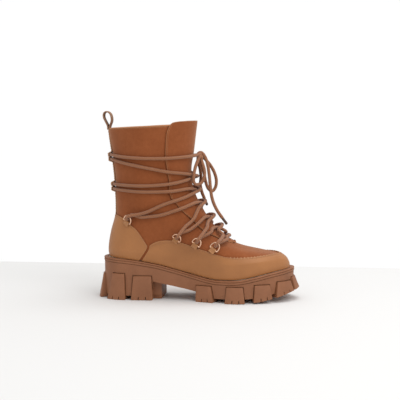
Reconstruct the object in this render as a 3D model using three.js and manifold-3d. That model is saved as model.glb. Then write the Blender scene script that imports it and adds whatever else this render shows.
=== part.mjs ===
// A right lace-up ankle boot with a lug sole, in millimetres. +X is the toe, +Z is up, -Y is the outer side.
// The origin is at the middle of the boot's box, on the ground.
import * as THREE from 'three';
import { mergeVertices } from 'three/addons/utils/BufferGeometryUtils.js';
import Module from 'manifold-3d';

const wasm = await Module();
wasm.setup();

// ---- Driving dimensions ----
const SOLE_LENGTH = 274.5; // of the welt
const BOOT_HEIGHT = 253.5; // to the top of the tongue flap
const HEEL_HALF = 35.5; // welt's half widths
const WAIST_HALF = 33;
const BALL_HALF = 51.5;
const TOE_SWING = 7; // the toe turns this far towards the inner side
const WELT_HEIGHT = 5.6;
const WELT_WIDTH = 6;
const BOARD_CLEAR = 2; // the insole board and the footbed stand this far inside the lining
const LUG_SIDE_FLARE = 3.2; // lugs stand out past the welt's line
const LUG_END_FLARE = 7.4;
const LUG_REACH = 21; // from the welt's line to a side lug's inner end
const TREAD_DEPTH = 5.5;
const TOE_SPRING = 0.0021; // rise of the tread per square of the distance past its start
const TOE_SPRING_START = 55;
const SLIT_WIDTH = 1.1;
const SLIT_HEIGHT = 4.5;
const GAP = 0.3; // between pieces that touch
const LEATHER = 1.3; // thickness of an overlay, the suede and the tongue flap
const STIFFENER = 1.0;
const LINING = 1.3;
const PLY_GAP = 1.1; // between the plies of the upper
const LINING_GAP = 2.2; // the lining stands free of the stiffeners
const BOARD = 2.0; // insole board
const FOOTBED = 4.0;
const SHANK = { length: 96, width: 14, thick: 1.4, middle: -38 };
const LACE_RADIUS = 2.3;
const STRAP_HALF = 7.2; // back strap's half width
const BINDING_RISE = 0.12; // collar's rim over the shaft, in stations
const RING = { half: 6.3, reach: 10, wire: 1.05, lift: 2.7, tilt: 22 }; // bar half length, bar to arc
const RING_PLAY = 0.25; // running clearance round the ring's bar
const TAB = { thick: 0.75, tail: 6 }; // the folded tab that holds a ring: its leather and its tail's length
const LACE_PLAY = 1.4; // slack between a ring's arc and the lace

const LACE_STEP = 11.5; // length between a held strand's sections

// The outlines and seams below are drafted on this boot, and are graded to the sizes above.
const DRAFT = { length: 274.5, height: 253.5, heel: 35.5, waist: 33, ball: 51.5, lace: 2.3 };
const STRETCH = SOLE_LENGTH / DRAFT.length;
const PLY_SPACE = PLY_GAP * STRETCH; // long flat facets need the more room
const gradeX = (x) => x * STRETCH;
const gradeZ = (z) => (z * BOOT_HEIGHT) / DRAFT.height;
const SOLE_BACK = gradeX(-137); // welt's rearmost point
const SOLE_FRONT = SOLE_BACK + SOLE_LENGTH;

// ---- Side outlines of the upper, from the sole to the top of the tongue flap ----
const BACK_LINE = new THREE.SplineCurve([
  [-129, 58.5], [-130.5, 64], [-130.7, 70], [-130.2, 77], [-128.6, 87], [-126, 99], [-122.8, 110],
  [-120.3, 121], [-119.8, 134], [-120.3, 149], [-121.1, 163], [-122, 177], [-123.8, 193],
  [-125.8, 211], [-128.2, 227], [-130, 241], [-131, 247.5],
].map(([x, z]) => new THREE.Vector2(gradeX(x), gradeZ(z))));
const FRONT_LINE = new THREE.SplineCurve([
  [131.5, 46], [130.4, 52.5], [126, 60], [117, 65.6], [98, 69.3], [74, 74], [53, 81],
  [35, 93], [20, 107.5], [6.5, 128], [-4, 147.5], [-9.5, 168], [-9.8, 188],
  [-6.6, 208], [-4, 229], [-2, 247], [-1.4, 253.5],
].map(([x, z]) => new THREE.Vector2(gradeX(x), gradeZ(z))));
const STATIONS = BACK_LINE.points.length - 1;
const COLLAR = STATIONS - 1;
// The upper's lower edge along the sole, as x and z.
const FEATHER_LINE = [
  [-140, 58.8], [-100, 57.4], [-60, 51.6], [-35, 45.6], [-8, 38.4], [19, 32.6], [34, 31.4], [62, 32.4],
  [87, 37.2], [108, 41.8], [140, 46.6],
];
// Half widths of the upper at a station: station, heel, waist, ball, heel round and toe round.
const WIDTH_KEYS = [
  [0, 31, 29.5, 45, 0.13, 0.3], [2, 34, 33, 48, 0.15, 0.32], [5, 33.5, 37, 45, 0.2, 0.42],
  [8, 32, 39, 39, 0.28, 0.5], [11, 38, 41.5, 40, 0.44, 0.5], [16, 47, 48, 46.5, 0.5, 0.5],
].map(([station, heel, waist, ball, ...rounds]) => [
  station, (heel * HEEL_HALF) / DRAFT.heel, (waist * WAIST_HALF) / DRAFT.waist, (ball * BALL_HALF) / DRAFT.ball,
  ...rounds,
]);

// ---- Small helpers ----
const mix = (a, b, t) => a + (b - a) * t;
const clamp01 = (t) => Math.min(1, Math.max(0, t));
const smooth = (t) => clamp01(t) ** 2 * (3 - 2 * clamp01(t));
const degrees = THREE.MathUtils.degToRad;
const xyz = (x, y, z) => new THREE.Vector3(x, y, z);

// Smooth value of a table of [key, a, b, ...] rows at one key; column 1 is the first value.
function tableValue(rows, key, column) {
  let i = 0;
  while (i < rows.length - 2 && key > rows[i + 1][0]) i += 1;
  const t = clamp01((key - rows[i][0]) / (rows[i + 1][0] - rows[i][0]));
  return mix(rows[i][column], rows[i + 1][column], t);
}

// Smooth value of the feather line at x: a spline through its points, found by its x.
const FEATHER_CURVE = new THREE.SplineCurve(
  FEATHER_LINE.map(([x, z]) => new THREE.Vector2(gradeX(x), gradeZ(z))));
function featherZ(x) {
  let low = 0;
  let high = 1;
  for (let k = 0; k < 30; k += 1) {
    const middle = (low + high) / 2;
    if (FEATHER_CURVE.getPoint(middle).x < x) low = middle;
    else high = middle;
  }
  return FEATHER_CURVE.getPoint(low).y;
}

const centreY = (x) => TOE_SWING * (Math.max(0, x) / SOLE_FRONT) ** 2 - TOE_SWING * 0.32;
// Height over the ground of the tread's lowest surface.
const treadZ = (x) => TOE_SPRING * Math.max(0, x - gradeX(TOE_SPRING_START)) ** 2;

// A foot-shaped half width at share s of the length (0 heel, 1 toe).
function footHalf(s, heel, waist, ball, heelRound, toeRound) {
  const width = s < 0.42
    ? mix(heel, waist, smooth((s - 0.12) / 0.3))
    : mix(waist, ball, smooth((s - 0.42) / 0.3));
  const back = Math.sqrt(1 - (1 - Math.min(1, s / heelRound)) ** 2);
  const front = Math.sqrt(1 - (1 - Math.min(1, (1 - s) / toeRound)) ** 2);
  return width * back * front;
}

// ---- The upper's reference skin ----
// angle is in degrees round the boot: 0 at the front, -180 to 0 on the outer side. station runs up the boot.
function skin(angle, station) {
  const back = BACK_LINE.getPoint(station / STATIONS);
  const front = FRONT_LINE.getPoint(station / STATIONS);
  const s = (1 + Math.cos(degrees(angle))) / 2;
  const x = mix(back.x, front.x, s);
  const lineX = mix(BACK_LINE.points[0].x, FRONT_LINE.points[0].x, s);
  const sag = featherZ(lineX) - mix(BACK_LINE.points[0].y, FRONT_LINE.points[0].y, s);
  const z = mix(back.y, front.y, s) + sag * Math.max(0, 1 - station / 7) ** 2;
  const shape = [1, 2, 3, 4, 5].map((column) => tableValue(WIDTH_KEYS, station, column));
  const side = Math.sin(degrees(angle)) < 0 ? -1 : 1;
  return xyz(x, centreY(x) + side * footHalf(s, ...shape), z);
}

// A point at a depth inside the skin (a negative depth stands outside it).
function under(angle, station, depth) {
  const step = 0.4;
  const round = skin(angle + step, station).sub(skin(angle - step, station));
  const low = Math.max(0, station - 0.05);
  const rise = skin(angle, low + 0.1).sub(skin(angle, low));
  const normal = round.cross(rise).normalize();
  return skin(angle, station).addScaledVector(normal, -depth);
}

// The station at which the skin has height z on one angle.
function stationAt(angle, z) {
  let low = 0;
  let high = STATIONS;
  for (let k = 0; k < 30; k += 1) {
    const middle = (low + high) / 2;
    if (skin(angle, middle).z < z) low = middle;
    else high = middle;
  }
  return low;
}

// The angle (0 to 180) and station of a point of the side view.
function place(x, z) {
  let low = 0;
  let high = 180;
  for (let k = 0; k < 30; k += 1) {
    const middle = (low + high) / 2;
    if (skin(middle, stationAt(middle, z)).x > x) low = middle;
    else high = middle;
  }
  return new THREE.Vector2(low, stationAt(low, z));
}

// ---- Solids ----
function mapped(geometry, map) {
  const position = geometry.attributes.position;
  for (let i = 0; i < position.count; i += 1) {
    const p = map(position.getX(i) + 0.5, position.getY(i) + 0.5, position.getZ(i) + 0.5);
    position.setXYZ(i, p.x, p.y, p.z);
  }
  return bare(geometry);
}

function bare(geometry) {
  geometry.deleteAttribute('normal');
  geometry.deleteAttribute('uv');
  return mergeVertices(geometry, 1e-4);
}

// A closed panel of the upper between two depths: spot(t, r) gives angle and station, t along and r up,
// and lift(t, r) stands the panel off the skin.
function panel(across, up, [outer, inner], spot, lift = () => 0) {
  const box = new THREE.BoxGeometry(1, 1, 1, across, up, 1);
  return facingOut(mapped(box, (t, r, deep) => {
    const [angle, station] = spot(t, r);
    return under(angle, station, mix(inner, outer, deep) - lift(t, r));
  }));
}

// A closed ring: point(t, w) with t once round the ring and w once round its section.
function ring(around, section, point) {
  const torus = new THREE.TorusGeometry(2, 1, section, around);
  const position = torus.attributes.position;
  for (let j = 0; j <= section; j += 1) {
    for (let i = 0; i <= around; i += 1) {
      const p = point((i % around) / around, (j % section) / section);
      position.setXYZ(j * (around + 1) + i, p.x, p.y, p.z);
    }
  }
  return facingOut(bare(torus));
}

// Signed volume; a negative one means that the faces look inwards.
function volume(geometry) {
  const p = geometry.attributes.position;
  const index = geometry.index;
  const [a, b, c] = [xyz(0, 0, 0), xyz(0, 0, 0), xyz(0, 0, 0)];
  let sum = 0;
  for (let i = 0; i < index.count; i += 3) {
    a.fromBufferAttribute(p, index.getX(i));
    b.fromBufferAttribute(p, index.getX(i + 1));
    c.fromBufferAttribute(p, index.getX(i + 2));
    sum += a.dot(b.cross(c)) / 6;
  }
  return sum;
}

function facingOut(geometry) {
  if (volume(geometry) > 0) return geometry;
  const index = geometry.index;
  for (let i = 0; i < index.count; i += 3) {
    const second = index.getX(i + 1);
    index.setX(i + 1, index.getX(i + 2));
    index.setX(i + 2, second);
  }
  return geometry;
}

function solid(geometry) {
  const merged = geometry.attributes.normal ? bare(geometry) : geometry;
  return new wasm.Manifold(new wasm.Mesh({
    numProp: 3,
    vertProperties: new Float32Array(merged.attributes.position.array),
    triVerts: new Uint32Array(merged.index.array),
  }));
}

function fromSolid(manifold) {
  const mesh = manifold.getMesh();
  const geometry = new THREE.BufferGeometry();
  geometry.setAttribute('position', new THREE.BufferAttribute(mesh.vertProperties, 3));
  geometry.setIndex(new THREE.BufferAttribute(mesh.triVerts, 1));
  return geometry;
}

const joined = (solids) => solids.reduce((sum, next) => sum.add(next));

// A tube whose sections follow the curve's own parameter, so close points make short steps.
class HandPath extends THREE.CatmullRomCurve3 {
  getPointAt(u, target) {
    return this.getPoint(u, target);
  }

  getTangentAt(u, target) {
    return this.getTangent(u, target);
  }

  getSpacedPoints(count) {
    return this.getPoints(count);
  }
}

function roundShape(radius, sides) {
  const corners = Array.from({ length: sides }, (_, k) => {
    const turn = ((k + 0.5) / sides) * Math.PI * 2;
    return new THREE.Vector2(radius * Math.cos(turn), radius * Math.sin(turn));
  });
  return new THREE.Shape(corners);
}

function tube(points, radius, sides, stepsEach) {
  const path = new HandPath(points, false, 'centripetal');
  const steps = Math.round((points.length - 1) * stepsEach);
  const shape = roundShape(radius, sides);
  return bare(new THREE.ExtrudeGeometry(shape, { steps, extrudePath: path, bevelEnabled: false }));
}

// ---- The sole's plan outline ----
// angle as on the upper; out moves the point outwards from the welt's line.
function outline(angle, out) {
  const at = (turn) => {
    const s = (1 + Math.cos(degrees(turn))) / 2;
    const x = mix(SOLE_BACK, SOLE_FRONT, s);
    const side = Math.sin(degrees(turn)) < 0 ? -1 : 1;
    return new THREE.Vector2(x, centreY(x) + side * footHalf(s, HEEL_HALF, WAIST_HALF, BALL_HALF, 0.14, 0.29));
  };
  const along = at(angle + 0.5).sub(at(angle - 0.5)).normalize();
  const normal = new THREE.Vector2(along.y, -along.x);
  return at(angle).addScaledVector(normal, out);
}

const weltTop = (x) => featherZ(x) - GAP;
const outsoleTop = (x) => weltTop(x) - WELT_HEIGHT - GAP;
const lugFlare = (angle) => mix(LUG_SIDE_FLARE, LUG_END_FLARE, Math.abs(Math.cos(degrees(angle))) ** 6);

// The angle at which the sole's outline has this x.
function soleAngle(x) {
  const s = (x - SOLE_BACK) / (SOLE_FRONT - SOLE_BACK);
  return THREE.MathUtils.radToDeg(Math.acos(2 * s - 1));
}

// A slab with the sole's outline. level(c, x) gives its height, out(c) the outline's offset.
function slab(columns, rows, out, level, firstX = null, lastX = null) {
  const from = firstX === null ? 175 : soleAngle(firstX);
  const to = lastX === null ? 5 : soleAngle(lastX);
  const box = new THREE.BoxGeometry(1, 1, 1, columns, 2, rows);
  return facingOut(mapped(box, (a, b, c) => {
    const angle = mix(from, to, a);
    const outer = outline(-angle, out(c, angle));
    const inner = outline(angle, out(c, angle));
    const x = mix(outer.x, inner.x, b);
    return xyz(x, mix(outer.y, inner.y, b), level(c, x));
  }));
}

// One lug: a block that follows the outline from one angle to another.
function lug(from, to, topFrom, topTo, top, inward) {
  const box = new THREE.BoxGeometry(1, 1, 1, Math.max(3, Math.round(Math.abs(to - from) / 5)), 1, 1);
  return facingOut(mapped(box, (a, b, c) => {
    const angle = mix(mix(from, to, a), mix(topFrom, topTo, a), c);
    const topShare = mix(0.45, 0.15, Math.abs(Math.cos(degrees(angle))) ** 6);
    const p = outline(angle, mix(-inward, lugFlare(angle) * mix(1, topShare, c), b));
    return xyz(p.x, p.y, mix(treadZ(p.x), top, c));
  }));
}

function block(low, high) {
  const size = high.clone().sub(low);
  const geometry = new THREE.BoxGeometry(size.x, size.y, size.z);
  geometry.translate((low.x + high.x) / 2, (low.y + high.y) / 2, (low.z + high.z) / 2);
  return solid(bare(geometry));
}

// Side lugs, heel to toe: bottom from and to, top from and to (x), and the top's height.
const SIDE_LUGS = [
  { bottom: [-124.5, -100], top: [-119, -101.5], height: 37 },
  { bottom: [-92, -61], top: [-89, -63], height: 34 },
  { bottom: [1, 26.5], top: [1, 22.5], height: 22.5 },
  { bottom: [43, 70.5], top: [45, 68], height: 22.8 },
  { bottom: [82.5, 107], top: [84, 104.5], height: 25.5 },
  { bottom: [112, 132.6], top: [115, 132.2], height: 28.5 },
];
const END_LUGS = [
  { middle: 0, half: 13.5, topHalf: 12.5, height: 32.5 },
  { middle: 180, half: 14.5, topHalf: 12, height: 34.5 },
];
// The arch: its level rises from the ball to the heel's breast, and the heel's sides step back further.
const ARCH = { front: 1, low: 13.4, breast: -50, high: 24, sideBreast: -61, sideHigh: 26, sideHalf: 24 };
const MIDDLE_BLOCKS = [-106, -76, 15, 50, 84, 108]; // x of the blocks along the tread's middle
const MIDDLE_HALF = { x: 8, y: 8.5 };
const SLIT_DEPTH = 5;

// A through cut under the sole from y to y, with the side view's corners (x, z).
function sideCutter(corners, fromY, toY) {
  const shape = new THREE.Shape(corners.map(([x, z]) => new THREE.Vector2(gradeX(x), gradeZ(z))));
  const geometry = new THREE.ExtrudeGeometry(shape, { depth: toY - fromY, bevelEnabled: false });
  geometry.rotateX(Math.PI / 2);
  geometry.translate(0, toY, 0);
  return solid(bare(geometry));
}

function makeOutsole() {
  const wall = 1.2;
  const base = solid(slab(30, 1, (c) => mix(-wall, -wall * 0.6, c),
    (c, x) => mix(treadZ(x) + TREAD_DEPTH, outsoleTop(x), c)));
  const lugs = [];
  const slits = [];
  for (const side of [-1, 1]) {
    for (const { bottom, top, height } of SIDE_LUGS) {
      const angles = [...bottom, ...top].map((x) => side * soleAngle(gradeX(x)));
      lugs.push(solid(lug(...angles, gradeZ(height), LUG_REACH)));
      for (const share of [0.36, 0.7]) {
        const middle = gradeX(mix(bottom[0], bottom[1], share));
        const edge = outline(side * soleAngle(middle), 0).y;
        const reach = side * (LUG_END_FLARE + SLIT_DEPTH);
        slits.push(slit(middle, edge - side * SLIT_DEPTH, edge + reach));
      }
    }
  }
  for (const { middle, half, topHalf, height } of END_LUGS) {
    const angles = [middle - half, middle + half, middle - topHalf, middle + topHalf];
    lugs.push(solid(lug(...angles, gradeZ(height), LUG_REACH)));
  }
  for (const x of MIDDLE_BLOCKS.map(gradeX)) {
    const middle = centreY(x);
    lugs.push(block(xyz(x - MIDDLE_HALF.x, middle - MIDDLE_HALF.y, treadZ(x + MIDDLE_HALF.x)),
      xyz(x + MIDDLE_HALF.x, middle + MIDDLE_HALF.y, treadZ(x) + 2 * TREAD_DEPTH)));
  }
  const breast = gradeX(ARCH.breast);
  lugs.push(block(xyz(breast - 14, -ARCH.sideHalf, 0), xyz(breast, ARCH.sideHalf, 20)));
  const { front, low, high, sideBreast, sideHigh, sideHalf } = ARCH;
  const ground = -10;
  const wide = 2 * BALL_HALF;
  const hollow = [[ARCH.breast, ground], [ARCH.breast, high], [front, low], [front, ground]];
  const past = ARCH.breast + 1;
  const notch = [[sideBreast, ground], [sideBreast, sideHigh], [past, high], [past, ground]];
  const cuts = [
    sideCutter(hollow, -wide, wide),
    sideCutter(notch, -wide, -sideHalf),
    sideCutter(notch, sideHalf, wide),
  ];
  return fromSolid(joined([base, ...lugs]).subtract(joined([...cuts, ...slits])).simplify(0.02));
}

// The tool that cuts one slit into a lug's foot at x, between two values of y.
function slit(x, fromY, toY) {
  const floor = treadZ(x);
  return block(xyz(x - SLIT_WIDTH / 2, Math.min(fromY, toY), floor - 3),
    xyz(x + SLIT_WIDTH / 2, Math.max(fromY, toY), floor + SLIT_HEIGHT));
}

// The welt: two beads round the midsole's edge.
function makeWelt() {
  const sections = [[0, 0], [0.72, 0], [1, 0.1], [1, 0.36], [0.8, 0.5], [1, 0.64], [1, 0.9], [0.72, 1], [0, 1]];
  return ring(48, sections.length, (t, w) => {
    const [wide, high] = sections[Math.round(w * sections.length)];
    const p = outline(t * 360 - 180, mix(-WELT_WIDTH, 0, wide));
    return xyz(p.x, p.y, weltTop(p.x) - WELT_HEIGHT * (1 - high));
  });
}

const midsoleEdge = -WELT_WIDTH - 3 * GAP;
const shankTop = (x) => weltTop(x) - GAP;

function makeMidsole() {
  const body = solid(slab(26, 1, () => midsoleEdge, (c, x) => weltTop(x) - WELT_HEIGHT * (1 - c)));
  const pocket = { ...SHANK, length: SHANK.length + 2 * GAP, width: SHANK.width + 2 * GAP };
  return fromSolid(body.subtract(solid(shankBlade(pocket, SHANK.thick + 2 * GAP, 2))));
}

// A strip that follows the sole's top along the middle of the foot.
function shankBlade({ length, width, middle }, thick, above) {
  const box = new THREE.BoxGeometry(1, 1, 1, 8, 1, 1);
  return facingOut(mapped(box, (a, b, c) => {
    const x = gradeX(middle) + length * (a - 0.5);
    return xyz(x, centreY(x) + width * (b - 0.5), shankTop(x) + mix(-thick, above, c));
  }));
}

const boardEdge = -WELT_WIDTH - LEATHER * 2 - STIFFENER - LINING - 2 * PLY_SPACE - LINING_GAP
  - BOARD_CLEAR * STRETCH ** 5;
const boardZ = (x) => weltTop(x) + 2.5 * GAP;
const makeBoard = () => slab(24, 1, () => boardEdge, (c, x) => boardZ(x) + BOARD * c);
const makeFootbed = () => slab(24, 1, () => boardEdge - 2.4, (c, x) => boardZ(x) + BOARD + GAP + FOOTBED * c);

// ---- The upper's layers, by depth under the skin ----
const OVERLAY = [0, LEATHER];
const SUEDE = [LEATHER + PLY_SPACE, LEATHER * 2 + PLY_SPACE];
const STIFF = [SUEDE[1] + PLY_SPACE, SUEDE[1] + PLY_SPACE + STIFFENER];
const INNER = [STIFF[1] + LINING_GAP, STIFF[1] + LINING_GAP + LINING];
const HEM = 0.04; // the panels' lowest station, just over the welt
const RIM_START = 0.03; // the collar's rim starts this far over the shaft, in stations

function makeLining() {
  const up = 8;
  return ring(30, 2 * (up + 1), (t, w) => {
    const k = Math.round(w * 2 * (up + 1));
    const inside = k > up;
    const share = inside ? (2 * up + 1 - k) / up : k / up;
    return under(t * 360 - 180, mix(HEM, COLLAR, share), inside ? INNER[1] : INNER[0]);
  });
}

function makeCollar() {
  const sections = [[0, 0], [0, 0.7], [0.3, 1], [0.7, 1], [1, 0.7], [1, 0]];
  return ring(40, sections.length, (t, w) => {
    const [deep, high] = sections[Math.round(w * sections.length)];
    return under(t * 360 - 180, COLLAR + RIM_START + BINDING_RISE * high, mix(SUEDE[0], INNER[1], deep));
  });
}

// Seams as points of the side view (x, z), heel to toe or bottom to top.
const toPlaces = (points) => new THREE.SplineCurve(points.map(([x, z]) => place(gradeX(x), gradeZ(z))));
const MUDGUARD_TOP = toPlaces([
  [-65.5, 77.5], [-58, 82.2], [-47, 85.2], [-34, 85.4], [-21, 83.2], [-4, 78], [16, 72], [30, 68], [42, 65],
  [56, 63.6], [77, 63.9], [94, 65.2], [107, 66.2],
]);
MUDGUARD_TOP.points.push(new THREE.Vector2(10, 3.12), new THREE.Vector2(0, 3.06));
const COUNTER_TOP = toPlaces([
  [-66.5, 76.5], [-74.5, 88.4], [-83, 99.2], [-91.8, 105.8], [-102.6, 114], [-112, 118],
]);
const COUNTER_BACK = stationAt(180, gradeZ(119.5)); // the counter's top at the back
COUNTER_TOP.points.push(new THREE.Vector2(180, COUNTER_BACK));
const SEAM_FOOT = place(gradeX(-80), gradeZ(57)).x; // where counter and mudguard meet at the welt
// Edge of the tongue flap, from its lower tip to its rounded top corner.
const FLAP_EDGE = toPlaces([
  [50, 81.5], [39.4, 85.8], [28.2, 90.8], [9.1, 101.5], [-2.5, 113], [-17.7, 126.7], [-29.8, 141.1], [-34.8, 147.8],
  [-37, 168.9], [-39.2, 185.6], [-41.4, 202.2], [-40.8, 218.9], [-39.1, 236], [-36.5, 243.5],
]);
FLAP_EDGE.points.unshift(new THREE.Vector2(0.5, 5.95), new THREE.Vector2(12, 6));
FLAP_EDGE.points.push(new THREE.Vector2(FLAP_EDGE.points.at(-1).x - 5, STATIONS - 0.4));
FLAP_EDGE.points.push(new THREE.Vector2(FLAP_EDGE.points.at(-1).x - 9, STATIONS - 0.08));
FLAP_EDGE.points.push(new THREE.Vector2(FLAP_EDGE.points.at(-1).x - 8, STATIONS));
const flapAngle = (station) => curveAngle(FLAP_EDGE, station);

// The angle of an edge curve at a station.
function curveAngle(curve, station) {
  let low = 0;
  let high = 1;
  for (let k = 0; k < 30; k += 1) {
    const middle = (low + high) / 2;
    if (curve.getPoint(middle).y < station) low = middle;
    else high = middle;
  }
  return curve.getPoint(low).x;
}

// A seam panel that mirrors at the front: the lower edge runs from an angle at the hem to the front.
function makeMudguard() {
  return panel(38, 4, OVERLAY, (t, r) => {
    const share = 1 - Math.abs(2 * t - 1);
    const top = MUDGUARD_TOP.getPoint(share);
    const foot = (1 - share) * (SEAM_FOOT - 1);
    const side = t < 0.5 ? -1 : 1;
    return [side * mix(foot, Math.max(0, top.x), r), mix(HEM, top.y, r)];
  });
}

function makeCounter() {
  return panel(24, 3, OVERLAY, (t, r) => {
    const share = 1 - Math.abs(2 * t - 1);
    const top = COUNTER_TOP.getPoint(share);
    const foot = mix(SEAM_FOOT + 1, 180, share);
    const turn = mix(foot, Math.min(180, top.x + 1.2 * (1 - share)), r);
    return [t < 0.5 ? turn : 360 - turn, mix(HEM, top.y, r)];
  });
}

// Where the vamp and the shaft meet, as an angle for a station.
const VAMP_SEAM = [[0, 62], [3, 56], [6, 47], [7.4, 40], [8.4, 30]];
const vampAngle = (station) => tableValue(VAMP_SEAM, station, 1);
const THROAT = 8.2; // the vamp ends here under the flap

function makeVamp() {
  return panel(16, 7, SUEDE, (t, r) => {
    const station = mix(HEM, THROAT, r);
    return [mix(-vampAngle(station) + 0.6, vampAngle(station) - 0.6, t), station];
  });
}

function makeShaft() {
  const edge = (station) => (station < 7.4 ? vampAngle(station) + 0.4
    : mix(vampAngle(7.4) + 0.4, Math.max(20, flapAngle(station) - 16), smooth((station - 7.4) / 3)));
  return panel(28, 11, SUEDE, (t, r) => {
    const station = mix(HEM, COLLAR, r);
    const open = edge(Math.min(station, COLLAR - 1));
    return [mix(open, 360 - open, t), station];
  });
}

function makeFlap() {
  return panel(12, 16, OVERLAY, (t, r) => {
    const at = FLAP_EDGE.getPoint(r);
    return [mix(-at.x, at.x, t), at.y];
  });
}

const makeToePuff = () => panel(12, 3, STIFF, (t, r) => [mix(-50, 50, t), mix(HEM, 3.6, r)]);
const makeHeelStiffener = () => panel(16, 5, STIFF, (t, r) => {
  const station = mix(HEM, 6.2, r);
  const open = mix(122, 140, r);
  return [mix(open, 360 - open, t), station];
});
const makeShaftFoam = () => panel(22, 7, STIFF, (t, r) => {
  const open = mix(44, 34, clamp01(2 * r));
  return [mix(open, 360 - open, t), mix(6.4, COLLAR - 0.05, r)];
});

// ---- Back strap and pull loop ----
// The lace passes under the strap here.
const KEEPERS = [{ z: gradeZ(202), reach: 9.6 }, { z: gradeZ(159.6), reach: 9.6 }];
const keeperLift = 2 * LACE_RADIUS + 2 * GAP;

function strapLift(z) {
  const lift = KEEPERS.map((keeper) => smooth(2 * (1 - Math.abs(z - keeper.z) / keeper.reach / 1.25)));
  return keeperLift * Math.max(...lift);
}

function makeBackStrap() {
  const bottom = COUNTER_BACK + 0.06;
  const top = COLLAR + 0.05;
  return panel(2, 30, OVERLAY, (t, r) => {
    const station = mix(bottom, top, r);
    const half = strapHalfAngle(station);
    return [180 + mix(-half, half, t), station];
  }, (t, r) => strapLift(skin(180, mix(bottom, top, r)).z));
}

// Half the strap's width as an angle round the back.
function strapHalfAngle(station) {
  const reach = Math.abs(skin(170, station).y - skin(180, station).y);
  return (10 * STRAP_HALF) / reach;
}

const loopFoot = skin(180, COLLAR + RIM_START + BINDING_RISE);
const LOOP_CLEAR = 3.3; // from the rim up to the fold's axis
const LOOP_AXIS = xyz(loopFoot.x + 1.4, centreY(loopFoot.x), loopFoot.z + LOOP_CLEAR);

// A teardrop of strap standing on the collar; its foot is round about the fold's axis.
function makePullLoop() {
  const outer = new THREE.Shape();
  outer.moveTo(-2.9, 0);
  outer.absarc(0, 0, 2.9, Math.PI, 2 * Math.PI, false);
  outer.bezierCurveTo(4.2, 5, 4.4, 9, 3.4, 14);
  outer.bezierCurveTo(2.6, 19, -1.5, 22.6, -4.9, 22.2);
  outer.bezierCurveTo(-9.4, 21.6, -10.2, 15.5, -7.6, 10);
  outer.bezierCurveTo(-5.6, 6, -3.6, 3, -2.9, 0);
  const hole = new THREE.Path();
  hole.moveTo(0.3, 4.5);
  hole.bezierCurveTo(1.9, 7, 2, 10, 1.2, 13.6);
  hole.bezierCurveTo(0.5, 17, -2.2, 20.2, -4.7, 19.9);
  hole.bezierCurveTo(-7.2, 19.5, -7.6, 15.5, -5.6, 11.2);
  hole.bezierCurveTo(-3.8, 7.6, -1.8, 5.4, 0.3, 4.5);
  outer.holes.push(hole);
  const geometry = new THREE.ExtrudeGeometry(outer, {
    depth: 2 * STRAP_HALF, bevelEnabled: false, curveSegments: 7,
  });
  geometry.translate(0, 0, -STRAP_HALF);
  geometry.rotateX(Math.PI / 2);
  geometry.translate(LOOP_AXIS.x, LOOP_AXIS.y, LOOP_AXIS.z);
  return bare(geometry);
}

// ---- D-rings and tabs ----
// Ring spots on the side view (x, z): the ankle ring, then three along the mudguard's top edge.
const RING_SPOTS = [
  { name: 'ankle', x: -96.9, z: 110.8 },
  { name: 'rear', x: -26, z: 88.2 },
  { name: 'middle', x: 1.8, z: 81.6 },
  { name: 'front', x: 26, z: 74.4 },
];
const RING_TURN = 53; // direction of the arc over the level, in degrees

// Axes at a ring: foot on the skin, out of the skin, along the arc's pull, and along the bar.
function ringFrame(spot, side) {
  const at = place(gradeX(spot.x), gradeZ(spot.z));
  const foot = under(side * at.x, at.y, 0);
  const out = under(side * at.x, at.y, -1).sub(foot).normalize();
  const pull = xyz(Math.cos(degrees(RING_TURN)), 0, Math.sin(degrees(RING_TURN)));
  pull.addScaledVector(out, -pull.dot(out)).normalize();
  const bar = out.clone().cross(pull).normalize();
  const lean = degrees(RING.tilt);
  const arc = pull.clone().multiplyScalar(Math.cos(lean)).addScaledVector(out, Math.sin(lean));
  const face = out.clone().multiplyScalar(Math.cos(lean)).addScaledVector(pull, -Math.sin(lean));
  const axis = foot.clone().addScaledVector(out, RING.lift);
  const apex = axis.clone().addScaledVector(arc, RING.reach);
  return { foot, out, pull, bar, arc, face, axis, apex };
}

function makeRing(frame) {
  const around = 14;
  const outlineOf = (t) => {
    const turn = t * 2 * Math.PI;
    const along = RING.half * Math.cos(turn);
    const flat = 1.2;
    return turn <= Math.PI
      ? [along, flat + (RING.reach - flat) * Math.sin(turn) ** 0.8]
      : [along, flat * (1 - Math.min(1, -Math.sin(turn) * 2.2))];
  };
  const centre = (t) => {
    const [along, high] = outlineOf(t);
    return frame.axis.clone().addScaledVector(frame.bar, along).addScaledVector(frame.arc, high);
  };
  return ring(around, 5, (t, w) => {
    const tangent = centre((t + 0.01) % 1).sub(centre((t + 0.99) % 1)).normalize();
    const side = tangent.clone().cross(frame.face).normalize();
    const turn = w * 2 * Math.PI;
    return centre(t).addScaledVector(side, RING.wire * Math.cos(turn))
      .addScaledVector(frame.face, RING.wire * Math.sin(turn));
  });
}

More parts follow.
